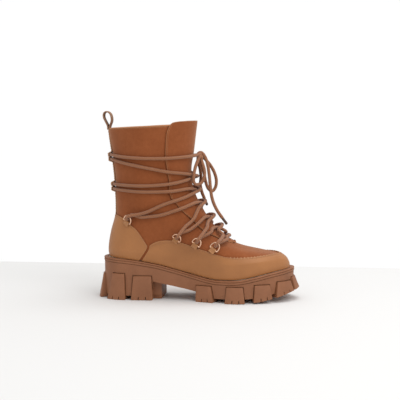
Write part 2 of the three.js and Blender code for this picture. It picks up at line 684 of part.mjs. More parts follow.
// A folded leather tab: a sleeve round the bar and a tail on the boot.
function makeTab(frame) {
  const inner = RING.wire + RING_PLAY;
  const outer = inner + TAB.thick;
  const width = 2 * RING.half - 4.2;
  const shape = new THREE.Shape();
  const low = GAP - RING.lift;
  shape.moveTo(-TAB.tail, low);
  shape.lineTo(0, low);
  shape.absarc(0, 0, outer, -Math.PI / 2, Math.PI * 0.62, false);
  shape.lineTo(-0.6 * TAB.tail, low + 2.8 * TAB.thick);
  shape.lineTo(-TAB.tail, low + 1.4 * TAB.thick);
  shape.closePath();
  const hole = new THREE.Path();
  hole.absarc(0, 0, inner, 0, 2 * Math.PI, true);
  shape.holes.push(hole);
  const geometry = new THREE.ExtrudeGeometry(shape, { depth: width, bevelEnabled: false, curveSegments: 3 });
  geometry.translate(0, 0, -width / 2);
  const frameMatrix = new THREE.Matrix4().makeBasis(frame.pull, frame.out, frame.pull.clone().cross(frame.out));
  frameMatrix.setPosition(frame.axis);
  geometry.applyMatrix4(frameMatrix);
  return facingOut(bare(geometry));
}

// ---- The held lace ----
// Clear height of the lace's middle over the skin: over the flap's face, or over the suede.
function restLift(angle, station) {
  const turn = Math.abs(THREE.MathUtils.euclideanModulo(angle + 180, 360) - 180);
  const edge = flapAngle(Math.min(15, Math.max(6.2, station)));
  const sink = SUEDE[0] * smooth((turn - edge - 3) / 12);
  return 1.25 * LACE_RADIUS + 0.625 * STRETCH - sink;
}

// A strand along the skin through hand-set spots: angle, height z, and lift over the resting height.
const STATION_SCALE = 15;
function strand(spots) {
  const path = new THREE.CatmullRomCurve3(
    spots.map(([angle, z, lift = 0]) => xyz(angle, STATION_SCALE * stationAt(angle, gradeZ(z)), lift)),
    false, 'centripetal');
  const count = Math.max(2, Math.round(path.getLength() / LACE_STEP));
  return path.getSpacedPoints(count).map(({ x, y, z }) => {
    const station = y / STATION_SCALE;
    return under(x, station, -restLift(x, station) - z);
  });
}

// A spot of the side view (x, z) as a strand's spot.
function beside(side, x, z, lift = 0) {
  return [side * place(gradeX(x), gradeZ(z)).x, z, lift];
}

// The lace's turn through a ring: in over the arc, back under it.
function hairpin(frame) {
  const far = RING.wire + LACE_PLAY + LACE_RADIUS;
  const point = (along, high) => frame.apex.clone().addScaledVector(frame.arc, along)
    .addScaledVector(frame.face, high);
  return [point(1.2, far), point(-far * 0.7, far * 0.72), point(-far, 0), point(-far * 0.7, -far * 0.72),
    point(1.2, -far)];
}

const KNOT = xyz(gradeX(2.6), 0, gradeZ(204.4));
const OVER = 2 * LACE_RADIUS + 1.2; // lift of a strand that crosses over another
const TURN = 26; // angle at which crossing strands have parted

// Both ends of the lace start at the knot. The first starts on the outer side (side -1).
function heldLace(frames) {
  const near = (name) => hairpin(frames[`${name}_outer`]);
  const far = (name) => hairpin(frames[`${name}_inner`]);
  const flip = (points) => [...points].reverse();
  const out = (x, z, lift) => beside(-1, x, z, lift);
  const inn = (x, z, lift) => beside(1, x, z, lift);
  const back = ([angle, z, lift]) => [angle - 360, z, lift]; // the inner side, reached round the back
  const first = [
    xyz(KNOT.x - 4.4, -9.6, KNOT.z),
    ...strand([[-32, 203.6, 0.6], out(-58, 201), out(-100, 202.6), [-158, 204.8], [-180, 205.2], [-202, 205],
      back(inn(-100, 203)), back(inn(-62, 194)), back(inn(-30, 184)), [TURN - 360, 179], [-360, 174.5, 0.5],
      [-TURN - 360, 170.2], back(out(-46, 164)), back(out(-84, 162.6)), [-518, 163], [-540, 163], [-562, 163],
      back(back(inn(-96, 162.4))), back(back(inn(-62, 159.6))), back(back(inn(-32, 158.8))), [TURN - 720, 157.6],
      [-720, 153, OVER], [-TURN - 720, 148.8], back(back(out(-40, 138))), back(back(out(-76, 123.4, 2.6)))]),
    ...near('ankle'),
    ...strand([out(-76, 118.6, 1.6), out(-52, 121), out(-26, 128.6), [-TURN, 136.4], [0, 134.4], [TURN, 128.6],
      inn(-6, 113, 1), inn(-13.4, 105.4, 3.6)]),
    ...far('rear'),
    ...strand([inn(-9, 100, 1.6), inn(0, 106.4, 0.6), [TURN, 115.4], [0, 113.6, OVER], [-TURN, 108.4],
      out(12, 99.6, 5.4)]),
    ...near('middle'),
    ...strand([out(19, 94.4, 1.6), [-TURN, 99.8], [0, 98.6], [TURN, 93.6, 0.8], inn(34, 88.8, 2.6)]),
    ...far('front'),
  ];
  const bar = strand([inn(41.5, 83.4, 1.6), [TURN, 85.6], [0, 87.2], [-TURN, 85.6], out(41.5, 83.4, 1.6)]);
  const second = [
    ...flip(near('front')),
    ...strand([out(34, 88.8, 2.6), [-TURN, 93.6, 0.8], [0, 98.6, OVER], [TURN, 99.8], inn(19, 94.4, 1.6)]),
    ...flip(far('middle')),
    ...strand([inn(12, 99.6, 5.4), [TURN, 108.4], [0, 113.6], [-TURN, 115.4], out(0, 106.4, 0.6),
      out(-9, 100, 1.6)]),
    ...flip(near('rear')),
    ...strand([out(-13.4, 105.4, 3.6), out(-6, 113, 1), [-TURN, 128.6], [0, 134.4, OVER], [TURN, 136.4],
      inn(-26, 128.6), inn(-52, 121), inn(-76, 118.6, 1.6)]),
    ...flip(far('ankle')),
    ...strand([inn(-76, 123.4, 2.6), inn(-40, 138), [TURN, 148.8], [0, 153, 0.5], [-TURN, 157], out(-38, 154.6),
      out(-84, 154.6), [-158, 156.2], [-180, 156.2], [-202, 156.4], back(inn(-96, 158.4, OVER)),
      back(inn(-80, 163.4, OVER)), back(inn(-58, 165)), back(inn(-36, 166.4)), [TURN - 360, 170.2],
      [-360, 174.5, OVER], [-TURN - 360, 178.4], back(out(-42, 182.8)), back(out(-92, 192.6)), [-518, 198.6],
      [-540, 198.6], [-562, 198.8], back(back(inn(-103, 200, OVER))), back(back(inn(-84, 202.6, OVER))),
      back(back(inn(-58, 203))), [32 - 720, 203.6, 0.6]]),
    xyz(KNOT.x - 4.4, 9.6, KNOT.z),
  ];
  return [...first, ...bar, ...second];
}

// ---- The bow ----
// Each cord of the bow runs from beside the knot.
const BOW = {
  bow_loop_outer: [
    [1.4, -7.6, 200.4], [-0.4, -10.8, 195.4], [-2.8, -16.4, 186.8], [-4.4, -20.4, 174.6], [-4.4, -19.6, 167],
    [-1.1, -15, 163], [5.2, -10, 165.4], [9.3, -7.6, 174.3], [9, -6.4, 184], [6, -4.6, 193.4], [4.6, -3.6, 197.2],
  ],
  bow_loop_inner: [
    [6.6, 6.2, 201], [10.4, 9.6, 196.2], [15.9, 14, 188.9], [21.3, 18, 177.9], [23.8, 20, 166.2],
    [22.3, 20, 156.7], [18.2, 18, 151.6], [13, 15, 154.8], [9.4, 12, 164.4], [7, 8.6, 178.3], [4.4, 4.6, 191],
    [3, 3, 196.4],
  ],
  tail_outer: [
    [9.7, -1.2, 201.6], [12.2, -2, 195.7], [14.4, -3, 186.2], [16.4, -4, 172], [17.8, -5, 157.8],
    [19.4, -5, 146.4], [22.4, -5, 136], [28.4, -5, 124], [35, -4, 114.6],
  ],
  tail_inner: [
    [-1.6, 6.6, 200], [-1.6, 10.6, 194], [0.6, 14.6, 184], [1.6, 16.6, 172], [0.8, 17, 160], [3, 17, 150],
    [6.6, 17, 141],
  ],
};
const BOW_CLEAR = 4 * (LACE_RADIUS - DRAFT.lace); // a thicker lace stands the bow further off
const bowPoint = ([x, y, z]) => xyz(gradeX(x) + BOW_CLEAR, y, gradeZ(z));
const AGLET = { radius: 1.7, length: 11 };

function makeKnot() {
  const ball = new THREE.SphereGeometry(1, 12, 8);
  ball.scale(4.8, 5.4, 5.4);
  ball.translate(KNOT.x, KNOT.y, KNOT.z);
  return bare(ball);
}

function makeAglet(points) {
  const [before, end] = points.slice(-2).map(bowPoint);
  const direction = end.clone().sub(before).normalize();
  const start = end.clone().addScaledVector(direction, GAP);
  const tip = start.clone().addScaledVector(direction, AGLET.length);
  const straight = new THREE.LineCurve3(start, tip);
  const shape = roundShape(AGLET.radius, 8);
  return bare(new THREE.ExtrudeGeometry(shape, { steps: 1, extrudePath: straight, bevelEnabled: false }));
}

// ---- The boot ----
const material = (color, roughness, metalness = 0) => (
  new THREE.MeshStandardMaterial({ color, roughness, metalness }));
const LOOKS = {
  suede: material(0x9c5e33, 0.95),
  leather: material(0xa87345, 0.55),
  rubber: material(0x8f6247, 0.7),
  lace: material(0x9c7350, 0.85),
  metal: material(0xc79a7d, 0.28, 1),
  lining: material(0xc9a27a, 0.9),
  board: material(0xb9a184, 0.85),
  foam: material(0xd9cdb8, 0.95),
  steel: material(0x8b8f94, 0.35, 1),
  aglet: material(0x5b3a26, 0.4),
};

const boot = new THREE.Group();

function add(name, geometry, look) {
  geometry.computeVertexNormals();
  const mesh = new THREE.Mesh(geometry, LOOKS[look]);
  mesh.name = name;
  boot.add(mesh);
}

add('outsole', makeOutsole(), 'rubber');
add('welt', makeWelt(), 'rubber');
add('midsole', makeMidsole(), 'foam');
add('shank', shankBlade(SHANK, SHANK.thick, 0), 'steel');
add('insole_board', makeBoard(), 'board');
add('footbed', makeFootbed(), 'lining');
add('lining', makeLining(), 'lining');
add('toe_puff', makeToePuff(), 'board');
add('heel_stiffener', makeHeelStiffener(), 'board');
add('shaft_foam', makeShaftFoam(), 'foam');
add('vamp', makeVamp(), 'suede');
add('shaft', makeShaft(), 'suede');
add('collar_binding', makeCollar(), 'leather');
add('tongue_flap', makeFlap(), 'suede');
add('mudguard', makeMudguard(), 'leather');
add('heel_counter', makeCounter(), 'leather');
add('back_strap', makeBackStrap(), 'suede');
add('pull_loop', makePullLoop(), 'suede');

const frames = {};
for (const spot of RING_SPOTS) {
  for (const side of [-1, 1]) {
    const name = `${spot.name}_${side < 0 ? 'outer' : 'inner'}`;
    frames[name] = ringFrame(spot, side);
    add(`ring_tab_${name}`, makeTab(frames[name]), 'leather');
    add(`d_ring_${name}`, makeRing(frames[name]), 'metal');
  }
}

add('lace', tube(heldLace(frames), LACE_RADIUS, 6, 1), 'lace');
add('bow_knot', makeKnot(), 'lace');
for (const [name, points] of Object.entries(BOW)) {
  add(name, tube(points.map(bowPoint), LACE_RADIUS, 8, 1.5), 'lace');
  if (name.startsWith('tail')) add(name.replace('tail', 'aglet'), makeAglet(points), 'aglet');
}

// The origin is the middle of the box round the boot without its bow.
const box = new THREE.Box3();
for (const mesh of boot.children) {
  if (!/^(bow|tail|aglet)/.test(mesh.name)) box.union(new THREE.Box3().setFromObject(mesh));
}
boot.position.set(-(box.min.x + box.max.x) / 2, -(box.min.y + box.max.y) / 2, 0);

export default boot;
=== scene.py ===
"""Looks of a right lace-up ankle boot with a lug sole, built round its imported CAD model."""

import math

import bmesh
import bpy
import numpy as np
from mathutils import Matrix, Vector, noise


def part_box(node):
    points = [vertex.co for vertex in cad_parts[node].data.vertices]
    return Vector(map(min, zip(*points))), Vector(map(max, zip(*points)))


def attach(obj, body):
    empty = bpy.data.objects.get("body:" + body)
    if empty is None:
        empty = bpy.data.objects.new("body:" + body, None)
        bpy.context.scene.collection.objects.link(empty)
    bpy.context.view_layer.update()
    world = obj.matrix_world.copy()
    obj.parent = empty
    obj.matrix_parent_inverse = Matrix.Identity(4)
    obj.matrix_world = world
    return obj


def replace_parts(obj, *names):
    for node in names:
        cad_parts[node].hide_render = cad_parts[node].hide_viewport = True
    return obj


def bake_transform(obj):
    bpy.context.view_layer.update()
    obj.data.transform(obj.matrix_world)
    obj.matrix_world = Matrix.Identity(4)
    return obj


bl_info = {
    "name": "Lace-up Ankle Boot",
    "version": (1, 0, 0),
    "blender": (4, 5, 0),
    "location": "View3D > Sidebar > Boot",
    "description": "Suede, leather, rubber, lace and stitching of a lace-up ankle boot",
    "category": "Object",
}

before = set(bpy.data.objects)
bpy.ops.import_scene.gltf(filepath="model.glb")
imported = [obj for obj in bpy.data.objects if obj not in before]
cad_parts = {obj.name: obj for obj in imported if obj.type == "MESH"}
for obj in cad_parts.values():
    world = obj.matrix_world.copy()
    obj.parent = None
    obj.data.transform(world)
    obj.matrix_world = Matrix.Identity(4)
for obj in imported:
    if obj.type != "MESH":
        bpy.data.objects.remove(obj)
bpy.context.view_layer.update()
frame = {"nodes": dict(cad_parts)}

MM = 0.001

# ---- Shape, in millimetres, as in the CAD model ----
SOLE_BACK = -137.0
SOLE_FRONT = 137.5
HEEL_HALF = 35.5
WAIST_HALF = 33.0
BALL_HALF = 51.5
TOE_SWING = 7.0
WELT_HEIGHT = 5.6
WELT_WIDTH = 6.0
LUG_SIDE_FLARE = 3.2
LUG_END_FLARE = 7.4
LUG_REACH = 21.0
TREAD_DEPTH = 5.5
TOE_SPRING = 0.0021
TOE_SPRING_START = 55.0
GAP = 0.3
LEATHER = 1.3
STIFFENER = 1.0
LINING = 1.3
PLY_GAP = 1.1
LINING_GAP = 2.2
LACE_RADIUS = 2.3
STRAP_HALF = 7.2
BINDING_RISE = 0.12
RIM_START = 0.03
RING = {"half": 6.3, "reach": 10.0, "wire": 1.05, "lift": 2.7, "tilt": 22.0}
TAB_TAIL = 6.0
LACE_PLAY = 1.4
KNOT = np.array([2.6, 0.0, 204.4])

BACK_LINE = np.array([
    [-129, 58.5], [-130.5, 64], [-130.7, 70], [-130.2, 77], [-128.6, 87], [-126, 99], [-122.8, 110],
    [-120.3, 121], [-119.8, 134], [-120.3, 149], [-121.1, 163], [-122, 177], [-123.8, 193],
    [-125.8, 211], [-128.2, 227], [-130, 241], [-131, 247.5],
])
FRONT_LINE = np.array([
    [131.5, 46], [130.4, 52.5], [126, 60], [117, 65.6], [98, 69.3], [74, 74], [53, 81],
    [35, 93], [20, 107.5], [6.5, 128], [-4, 147.5], [-9.5, 168], [-9.8, 188],
    [-6.6, 208], [-4, 229], [-2, 247], [-1.4, 253.5],
])
STATIONS = len(BACK_LINE) - 1
COLLAR = STATIONS - 1
FEATHER_LINE = np.array([
    [-140, 58.8], [-100, 57.4], [-60, 51.6], [-35, 45.6], [-8, 38.4], [19, 32.6], [34, 31.4], [62, 32.4],
    [87, 37.2], [108, 41.8], [140, 46.6],
])
WIDTH_KEYS = np.array([
    [0, 31, 29.5, 45, 0.13, 0.3], [2, 34, 33, 48, 0.15, 0.32], [5, 33.5, 37, 45, 0.2, 0.42],
    [8, 32, 39, 39, 0.28, 0.5], [11, 38, 41.5, 40, 0.44, 0.5], [16, 47, 48, 46.5, 0.5, 0.5],
])


# ---- The skin: the boot's outer surface by angle and station ----
def mix(a, b, t):
    return a + (b - a) * t


def smooth(t):
    t = np.clip(t, 0.0, 1.0)
    return t * t * (3 - 2 * t)


def spline(points, t):
    """A uniform Catmull-Rom curve through points, at shares t of its length in knots."""
    points = np.asarray(points, float)
    last = len(points) - 1
    knot = np.clip(np.asarray(t, float), 0, 1) * last
    i = np.minimum(knot.astype(int), last - 1)
    w = (knot - i)[..., None]
    before, start = points[np.maximum(i - 1, 0)], points[i]
    end, after = points[i + 1], points[np.minimum(i + 2, last)]
    go, come = (end - before) / 2, (after - start) / 2
    return ((2 * start - 2 * end + go + come) * w**3 + (-3 * start + 3 * end - 2 * go - come) * w**2
            + go * w + start)


FEATHER_SAMPLES = spline(FEATHER_LINE, np.linspace(0, 1, 2001))


def feather_z(x):
    return np.interp(x, FEATHER_SAMPLES[:, 0], FEATHER_SAMPLES[:, 1])


def centre_y(x):
    return TOE_SWING * (np.maximum(0, x) / SOLE_FRONT) ** 2 - TOE_SWING * 0.32


def tread_z(x):
    return TOE_SPRING * np.maximum(0, x - TOE_SPRING_START) ** 2


def foot_half(s, heel, waist, ball, heel_round, toe_round):
    width = np.where(s < 0.42, mix(heel, waist, smooth((s - 0.12) / 0.3)),
                     mix(waist, ball, smooth((s - 0.42) / 0.3)))
    back = np.sqrt(1 - (1 - np.minimum(1, s / heel_round)) ** 2)
    front = np.sqrt(1 - (1 - np.minimum(1, (1 - s) / toe_round)) ** 2)
    return width * back * front


def skin(angle, station):
    """Points of the skin. angle is in degrees: 0 at the front, negative on the outer side."""
    angle, station = np.broadcast_arrays(np.asarray(angle, float), np.asarray(station, float))
    back = spline(BACK_LINE, station / STATIONS)
    front = spline(FRONT_LINE, station / STATIONS)
    s = (1 + np.cos(np.radians(angle))) / 2
    x = mix(back[..., 0], front[..., 0], s)
    line_x = mix(BACK_LINE[0, 0], FRONT_LINE[0, 0], s)
    sag = feather_z(line_x) - mix(BACK_LINE[0, 1], FRONT_LINE[0, 1], s)
    z = mix(back[..., 1], front[..., 1], s) + sag * np.maximum(0, 1 - station / 7) ** 2
    shape = [np.interp(station, WIDTH_KEYS[:, 0], WIDTH_KEYS[:, k]) for k in range(1, 6)]
    side = np.where(np.sin(np.radians(angle)) < 0, -1.0, 1.0)
    return np.stack([x, centre_y(x) + side * foot_half(s, *shape), z], axis=-1)


def under(angle, station, depth):
    """Points at a depth in millimetres inside the skin (a negative depth is outside it)."""
    angle, station, depth = np.broadcast_arrays(*(np.asarray(v, float) for v in (angle, station, depth)))
    low = np.maximum(0, station - 0.05)
    round_ = skin(angle + 0.4, station) - skin(angle - 0.4, station)
    rise = skin(angle, low + 0.1) - skin(angle, low)
    normal = np.cross(round_, rise)
    normal /= np.linalg.norm(normal, axis=-1, keepdims=True)
    return skin(angle, station) - normal * depth[..., None]


def station_at(angle, z):
    angle, z = np.broadcast_arrays(np.asarray(angle, float), np.asarray(z, float))
    low, high = np.zeros(z.shape), np.full(z.shape, float(STATIONS))
    for _ in range(26):
        middle = (low + high) / 2
        below = skin(angle, middle)[..., 2] < z
        low, high = np.where(below, middle, low), np.where(below, high, middle)
    return low


def place(x, z):
    """Angle (0 to 180) and station of points of the side view."""
    x, z = np.atleast_1d(np.asarray(x, float)), np.atleast_1d(np.asarray(z, float))
    low, high = np.zeros(x.shape), np.full(x.shape, 180.0)
    for _ in range(26):
        middle = (low + high) / 2
        ahead = skin(middle, station_at(middle, z))[..., 0] > x
        low, high = np.where(ahead, middle, low), np.where(ahead, high, middle)
    return np.stack([low, station_at(low, z)], axis=-1)


def outline(angle, out):
    """The sole's plan outline, moved outwards by out millimetres."""
    def at(turn):
        s = (1 + np.cos(np.radians(turn))) / 2
        x = mix(SOLE_BACK, SOLE_FRONT, s)
        side = np.where(np.sin(np.radians(turn)) < 0, -1.0, 1.0)
        half = foot_half(s, HEEL_HALF, WAIST_HALF, BALL_HALF, 0.14, 0.29)
        return np.stack([x, centre_y(x) + side * half], axis=-1)
    angle = np.asarray(angle, float)
    along = at(angle + 0.5) - at(angle - 0.5)
    along /= np.linalg.norm(along, axis=-1, keepdims=True)
    normal = np.stack([along[..., 1], -along[..., 0]], axis=-1)
    return at(angle) + normal * np.asarray(out, float)[..., None]


def sole_angle(x):
    return np.degrees(np.arccos(2 * (np.asarray(x, float) - SOLE_BACK) / (SOLE_FRONT - SOLE_BACK) - 1))


def welt_top(x):
    return feather_z(x) - GAP


def outsole_top(x):
    return welt_top(x) - WELT_HEIGHT - GAP


def lug_flare(angle):
    return mix(LUG_SIDE_FLARE, LUG_END_FLARE, np.abs(np.cos(np.radians(angle))) ** 6)


# The CAD model is centred on its own box, so its shift is read from the welt.
WELT_LOW, WELT_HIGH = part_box("welt")
SHIFT = np.array([
    WELT_LOW.x / MM - SOLE_BACK,
    WELT_HIGH.y / MM - outline(np.arange(-180, 180, 7.5), np.zeros(48))[:, 1].max(),
    0.0,
])


def metres(points):
    return (np.asarray(points, float) + SHIFT) * MM


# Seams of the side view, heel to toe or bottom to top, as angle and station.
MUDGUARD_TOP = np.vstack([place(*np.array([
    [-65.5, 77.5], [-58, 82.2], [-47, 85.2], [-34, 85.4], [-21, 83.2], [-4, 78], [16, 72], [30, 68], [42, 65],
    [56, 63.6], [77, 63.9], [94, 65.2], [107, 66.2],
]).T), [[10, 3.12], [0, 3.06]]])
COUNTER_TOP = np.vstack([place(*np.array([
    [-66.5, 76.5], [-74.5, 88.4], [-83, 99.2], [-91.8, 105.8], [-102.6, 114], [-112, 118],
]).T), [[180, float(station_at(180, 119.5))]]])
SEAM_FOOT = place(-80, 57)[0, 0]
FLAP_EDGE = place(*np.array([
    [50, 81.5], [39.4, 85.8], [28.2, 90.8], [9.1, 101.5], [-2.5, 113], [-17.7, 126.7], [-29.8, 141.1],
    [-34.8, 147.8], [-37, 168.9], [-39.2, 185.6], [-41.4, 202.2], [-40.8, 218.9], [-39.1, 236], [-36.5, 243.5],
]).T)
FLAP_CORNER = FLAP_EDGE[-1, 0]
FLAP_EDGE = np.vstack([
    [[0.5, 5.95], [12, 6]], FLAP_EDGE,
    [[FLAP_CORNER - 5, STATIONS - 0.4], [FLAP_CORNER - 14, STATIONS - 0.08], [FLAP_CORNER - 22, STATIONS]],
])
FLAP_SAMPLES = spline(FLAP_EDGE, np.linspace(0, 1, 801))


def flap_angle(station):
    return np.interp(station, FLAP_SAMPLES[:, 1], FLAP_SAMPLES[:, 0])


# Depths of the upper's plies under the skin.
OVERLAY = 0.0
SUEDE = LEATHER + PLY_GAP
INNER = SUEDE + LEATHER + PLY_GAP + STIFFENER + LINING_GAP
SUEDE_FACE = 1.55  # the padded suede rises to just under the overlays


# ---- Sizes and colours that a user may change ----
class BootSizes(bpy.types.PropertyGroup):
    """Sizes of the surface detail."""

    stitch_length: bpy.props.FloatProperty(
        name="Stitch length", description="Length of one visible stitch", default=0.0024, unit="LENGTH")
    stitch_gap: bpy.props.FloatProperty(
        name="Stitch gap", description="Space between two stitches", default=0.0010, unit="LENGTH")
    thread: bpy.props.FloatProperty(
        name="Thread", description="Radius of the sewing thread", default=0.00034, unit="LENGTH")
    edge_round: bpy.props.FloatProperty(
        name="Edge rounding", description="Rounding of the leather's cut edges", default=0.00045,
        unit="LENGTH")
    crease: bpy.props.FloatProperty(
        name="Crease depth", description="Depth of the soft creases in the suede", default=0.0005,
        unit="LENGTH")


def colour_property(name, description, value):
    return bpy.props.FloatVectorProperty(
        name=name, description=description, subtype="COLOR", size=3, min=0, max=1, default=value)


class BootColours(bpy.types.PropertyGroup):
    """Base colours, linear."""

    suede: colour_property("Suede", "Rust-tan napped suede", (0.262, 0.074, 0.023))
    leather: colour_property("Leather", "Camel smooth leather", (0.372, 0.151, 0.046))
    rubber: colour_property("Rubber", "Rosy-brown moulded rubber", (0.264, 0.105, 0.046))
    lace: colour_property("Lace", "Taupe round lace", (0.290, 0.125, 0.062))
    metal: colour_property("Rings", "Rose-gold plated wire", (0.80, 0.52, 0.36))
    lining: colour_property("Lining", "Light textile lining", (0.56, 0.38, 0.24))
    thread: colour_property("Thread", "Sewing thread", (0.33, 0.14, 0.055))
    floor: colour_property("Floor", "Pale studio floor", (0.77, 0.765, 0.755))


# ---- Mesh helpers ----
def finished(name, bm, material, body="boot", shade=True):
    """Makes an object at the origin from a bmesh and rides it on a body."""
    mesh = bpy.data.meshes.new(name)
    bm.to_mesh(mesh)
    bm.free()
    if shade:
        mesh.polygons.foreach_set("use_smooth", [True] * len(mesh.polygons))
    mesh.materials.append(material)
    piece = bpy.data.objects.new(name, mesh)
    bpy.context.scene.collection.objects.link(piece)
    if body:
        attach(piece, body)
    return piece


def grid(across, up, point, uv=None):
    """A sheet of quads: point(t, r) maps arrays of shares to millimetres."""
    bm = bmesh.new()
    bmesh.ops.create_grid(bm, x_segments=across, y_segments=up, size=0.5)
    shares = np.array([v.co[:2] for v in bm.verts]) + 0.5
    places = metres(point(shares[:, 0], shares[:, 1]))
    if uv:
        layer = bm.loops.layers.uv.new("UVMap")
        flat = uv(shares[:, 0], shares[:, 1])
        for face in bm.faces:
            for loop in face.loops:
                loop[layer].uv = flat[loop.vert.index]
    for vert, co in zip(bm.verts, places):
        vert.co = co
    return bm


def close_seam(bm, distance=2e-6):
    bmesh.ops.remove_doubles(bm, verts=bm.verts, dist=distance)
    bmesh.ops.holes_fill(bm, edges=bm.edges, sides=0)
    bmesh.ops.recalc_face_normals(bm, faces=bm.faces)
    return bm


def face_out(bm, middle):
    """Turns a sheet's faces away from a middle line given as a function of height."""
    score = 0.0
    for face in bm.faces:
        centre = face.calc_center_median()
        score += face.normal.dot(centre - middle(centre))
    if score < 0:
        bmesh.ops.reverse_faces(bm, faces=bm.faces)


def boot_middle(p):
    """A point well inside the boot for a point of its upper."""
    z = p.z / MM
    x = np.interp(z, [60, 90, 130, 250], [0, -30, -62, -66])
    return Vector((p.x if z < 80 else x * MM, 0.0, min(p.z, 0.05) if z < 80 else p.z))


def thicken(piece, thickness, bevel, segments=2, inwards=True):
    """Gives a sheet its thickness and rounds its cut edges."""
    wall = piece.modifiers.new("Thickness", "SOLIDIFY")
    wall.thickness = thickness
    wall.offset = -1 if inwards else 1
    wall.use_even_offset = False
    edge = piece.modifiers.new("Edges", "BEVEL")
    edge.width = bevel
    edge.segments = segments
    edge.limit_method = "ANGLE"
    edge.angle_limit = math.radians(50)
    return piece


def ripple(angle, station, size, seed):
    """Soft low noise over the skin, from -size to size."""
    values = [noise.noise(Vector((a * 0.035 + seed, s * 0.55, seed * 2.0))) for a, s in zip(angle, station)]
    return np.array(values) * size


def frames_along(points):
    """Tangent and two sideways directions at each point, turned as little as possible."""
    points = np.asarray(points, float)
    tangent = np.gradient(points, axis=0)
    tangent /= np.linalg.norm(tangent, axis=1, keepdims=True)
    side = np.zeros_like(points)
    first = np.cross(tangent[0], [0.3, 0.9, 0.1])
    side[0] = first / np.linalg.norm(first)
    for k in range(1, len(points)):
        s = side[k - 1] - tangent[k] * np.dot(side[k - 1], tangent[k])
        side[k] = s / np.linalg.norm(s)
    return tangent, side, np.cross(tangent, side)


def length_along(points):
    steps = np.linalg.norm(np.diff(points, axis=0), axis=1)
    return np.concatenate([[0], np.cumsum(steps)])


def chordal(points, step):
    """A centripetal Catmull-Rom curve through points, sampled about every step."""
    points = np.asarray(points, float)
    padded = np.vstack([2 * points[0] - points[1], points, 2 * points[-1] - points[-2]])
    out = []
    for k in range(1, len(padded) - 2):
        p0, p1, p2, p3 = padded[k - 1:k + 3]
        t0 = 0.0
        t1 = t0 + max(1e-4, np.linalg.norm(p1 - p0)) ** 0.5
        t2 = t1 + max(1e-4, np.linalg.norm(p2 - p1)) ** 0.5
        t3 = t2 + max(1e-4, np.linalg.norm(p3 - p2)) ** 0.5
        count = max(2, int(round(np.linalg.norm(p2 - p1) / step)))
        for t in np.linspace(t1, t2, count, endpoint=False):
            a1 = mix(p0, p1, (t - t0) / (t1 - t0))
            a2 = mix(p1, p2, (t - t1) / (t2 - t1))
            a3 = mix(p2, p3, (t - t2) / (t3 - t2))
            b1 = mix(a1, a2, (t - t0) / (t2 - t0))
            b2 = mix(a2, a3, (t - t1) / (t3 - t1))
            out.append(mix(b1, b2, (t - t1) / (t2 - t1)))
    out.append(points[-1])
    return np.array(out)


def tube_mesh(points, radius, around=14, end_round=True):
    """A round tube with UVs in metres along it, through dense points in millimetres."""
    points = np.asarray(points, float)
    radius = np.broadcast_to(np.asarray(radius, float), len(points))
    _, side, other = frames_along(points)
    run = length_along(points)
    total = run[-1]
    ends = np.minimum(run, total - run)
    taper = np.sqrt(np.clip(1 - (1 - np.clip(ends / (radius * 0.9), 0, 1)) ** 2, 0.02, 1)) if end_round else \
        np.ones(len(points))
    last = len(points) - 1

    def point(t, r):
        i = np.rint(t * last).astype(int)
        turn = 2 * np.pi * r
        return points[i] + (side[i] * np.cos(turn)[:, None] + other[i] * np.sin(turn)[:, None]) \
            * (radius * taper)[i][:, None]

    def uv(t, r):
        i = np.rint(t * last).astype(int)
        return np.stack([run[i] * MM, r], axis=-1)
    return close_seam(grid(last, around, point, uv))


def joined(parts):
    """One bmesh from several."""
    whole = bmesh.new()
    for part in parts:
        mesh = bpy.data.meshes.new("part")
        part.to_mesh(mesh)
        part.free()
        whole.from_mesh(mesh)
        bpy.data.meshes.remove(mesh)
    return whole


# ---- Materials ----
def add_node(tree, kind, links=(), **settings):
    """A node with settings, and links as (input, output socket or value)."""
    node = tree.nodes.new(kind)
    for key, value in settings.items():
        setattr(node, key, value)
    for socket, source in links:
        if isinstance(source, bpy.types.NodeSocket):
            tree.links.new(source, node.inputs[socket])
        else:
            node.inputs[socket].default_value = source
    return node


def effect(name, inputs, outputs):
    """An empty shader group with named inputs (name, type, default) and outputs (name, type)."""
    tree = bpy.data.node_groups.new(name, "ShaderNodeTree")
    for label, kind, value in inputs:
        socket = tree.interface.new_socket(label, in_out="INPUT", socket_type=kind)
        if value is not None:
            socket.default_value = value
    for label, kind in outputs:
        tree.interface.new_socket(label, in_out="OUTPUT", socket_type=kind)
    return tree, tree.nodes.new("NodeGroupInput"), tree.nodes.new("NodeGroupOutput")


FLOAT, VECTOR = "NodeSocketFloat", "NodeSocketVector"


def math_node(tree, operation, a, b=0.5, c=0.0):
    return add_node(tree, "ShaderNodeMath", [(0, a), (1, b), (2, c)], operation=operation).outputs[0]


def noise_at(tree, vector, scale, detail=3.0, rough=0.55):
    node = add_node(tree, "ShaderNodeTexNoise",
                    [("Vector", vector), ("Scale", scale), ("Detail", detail), ("Roughness", rough)])
    return node.outputs["Fac"]


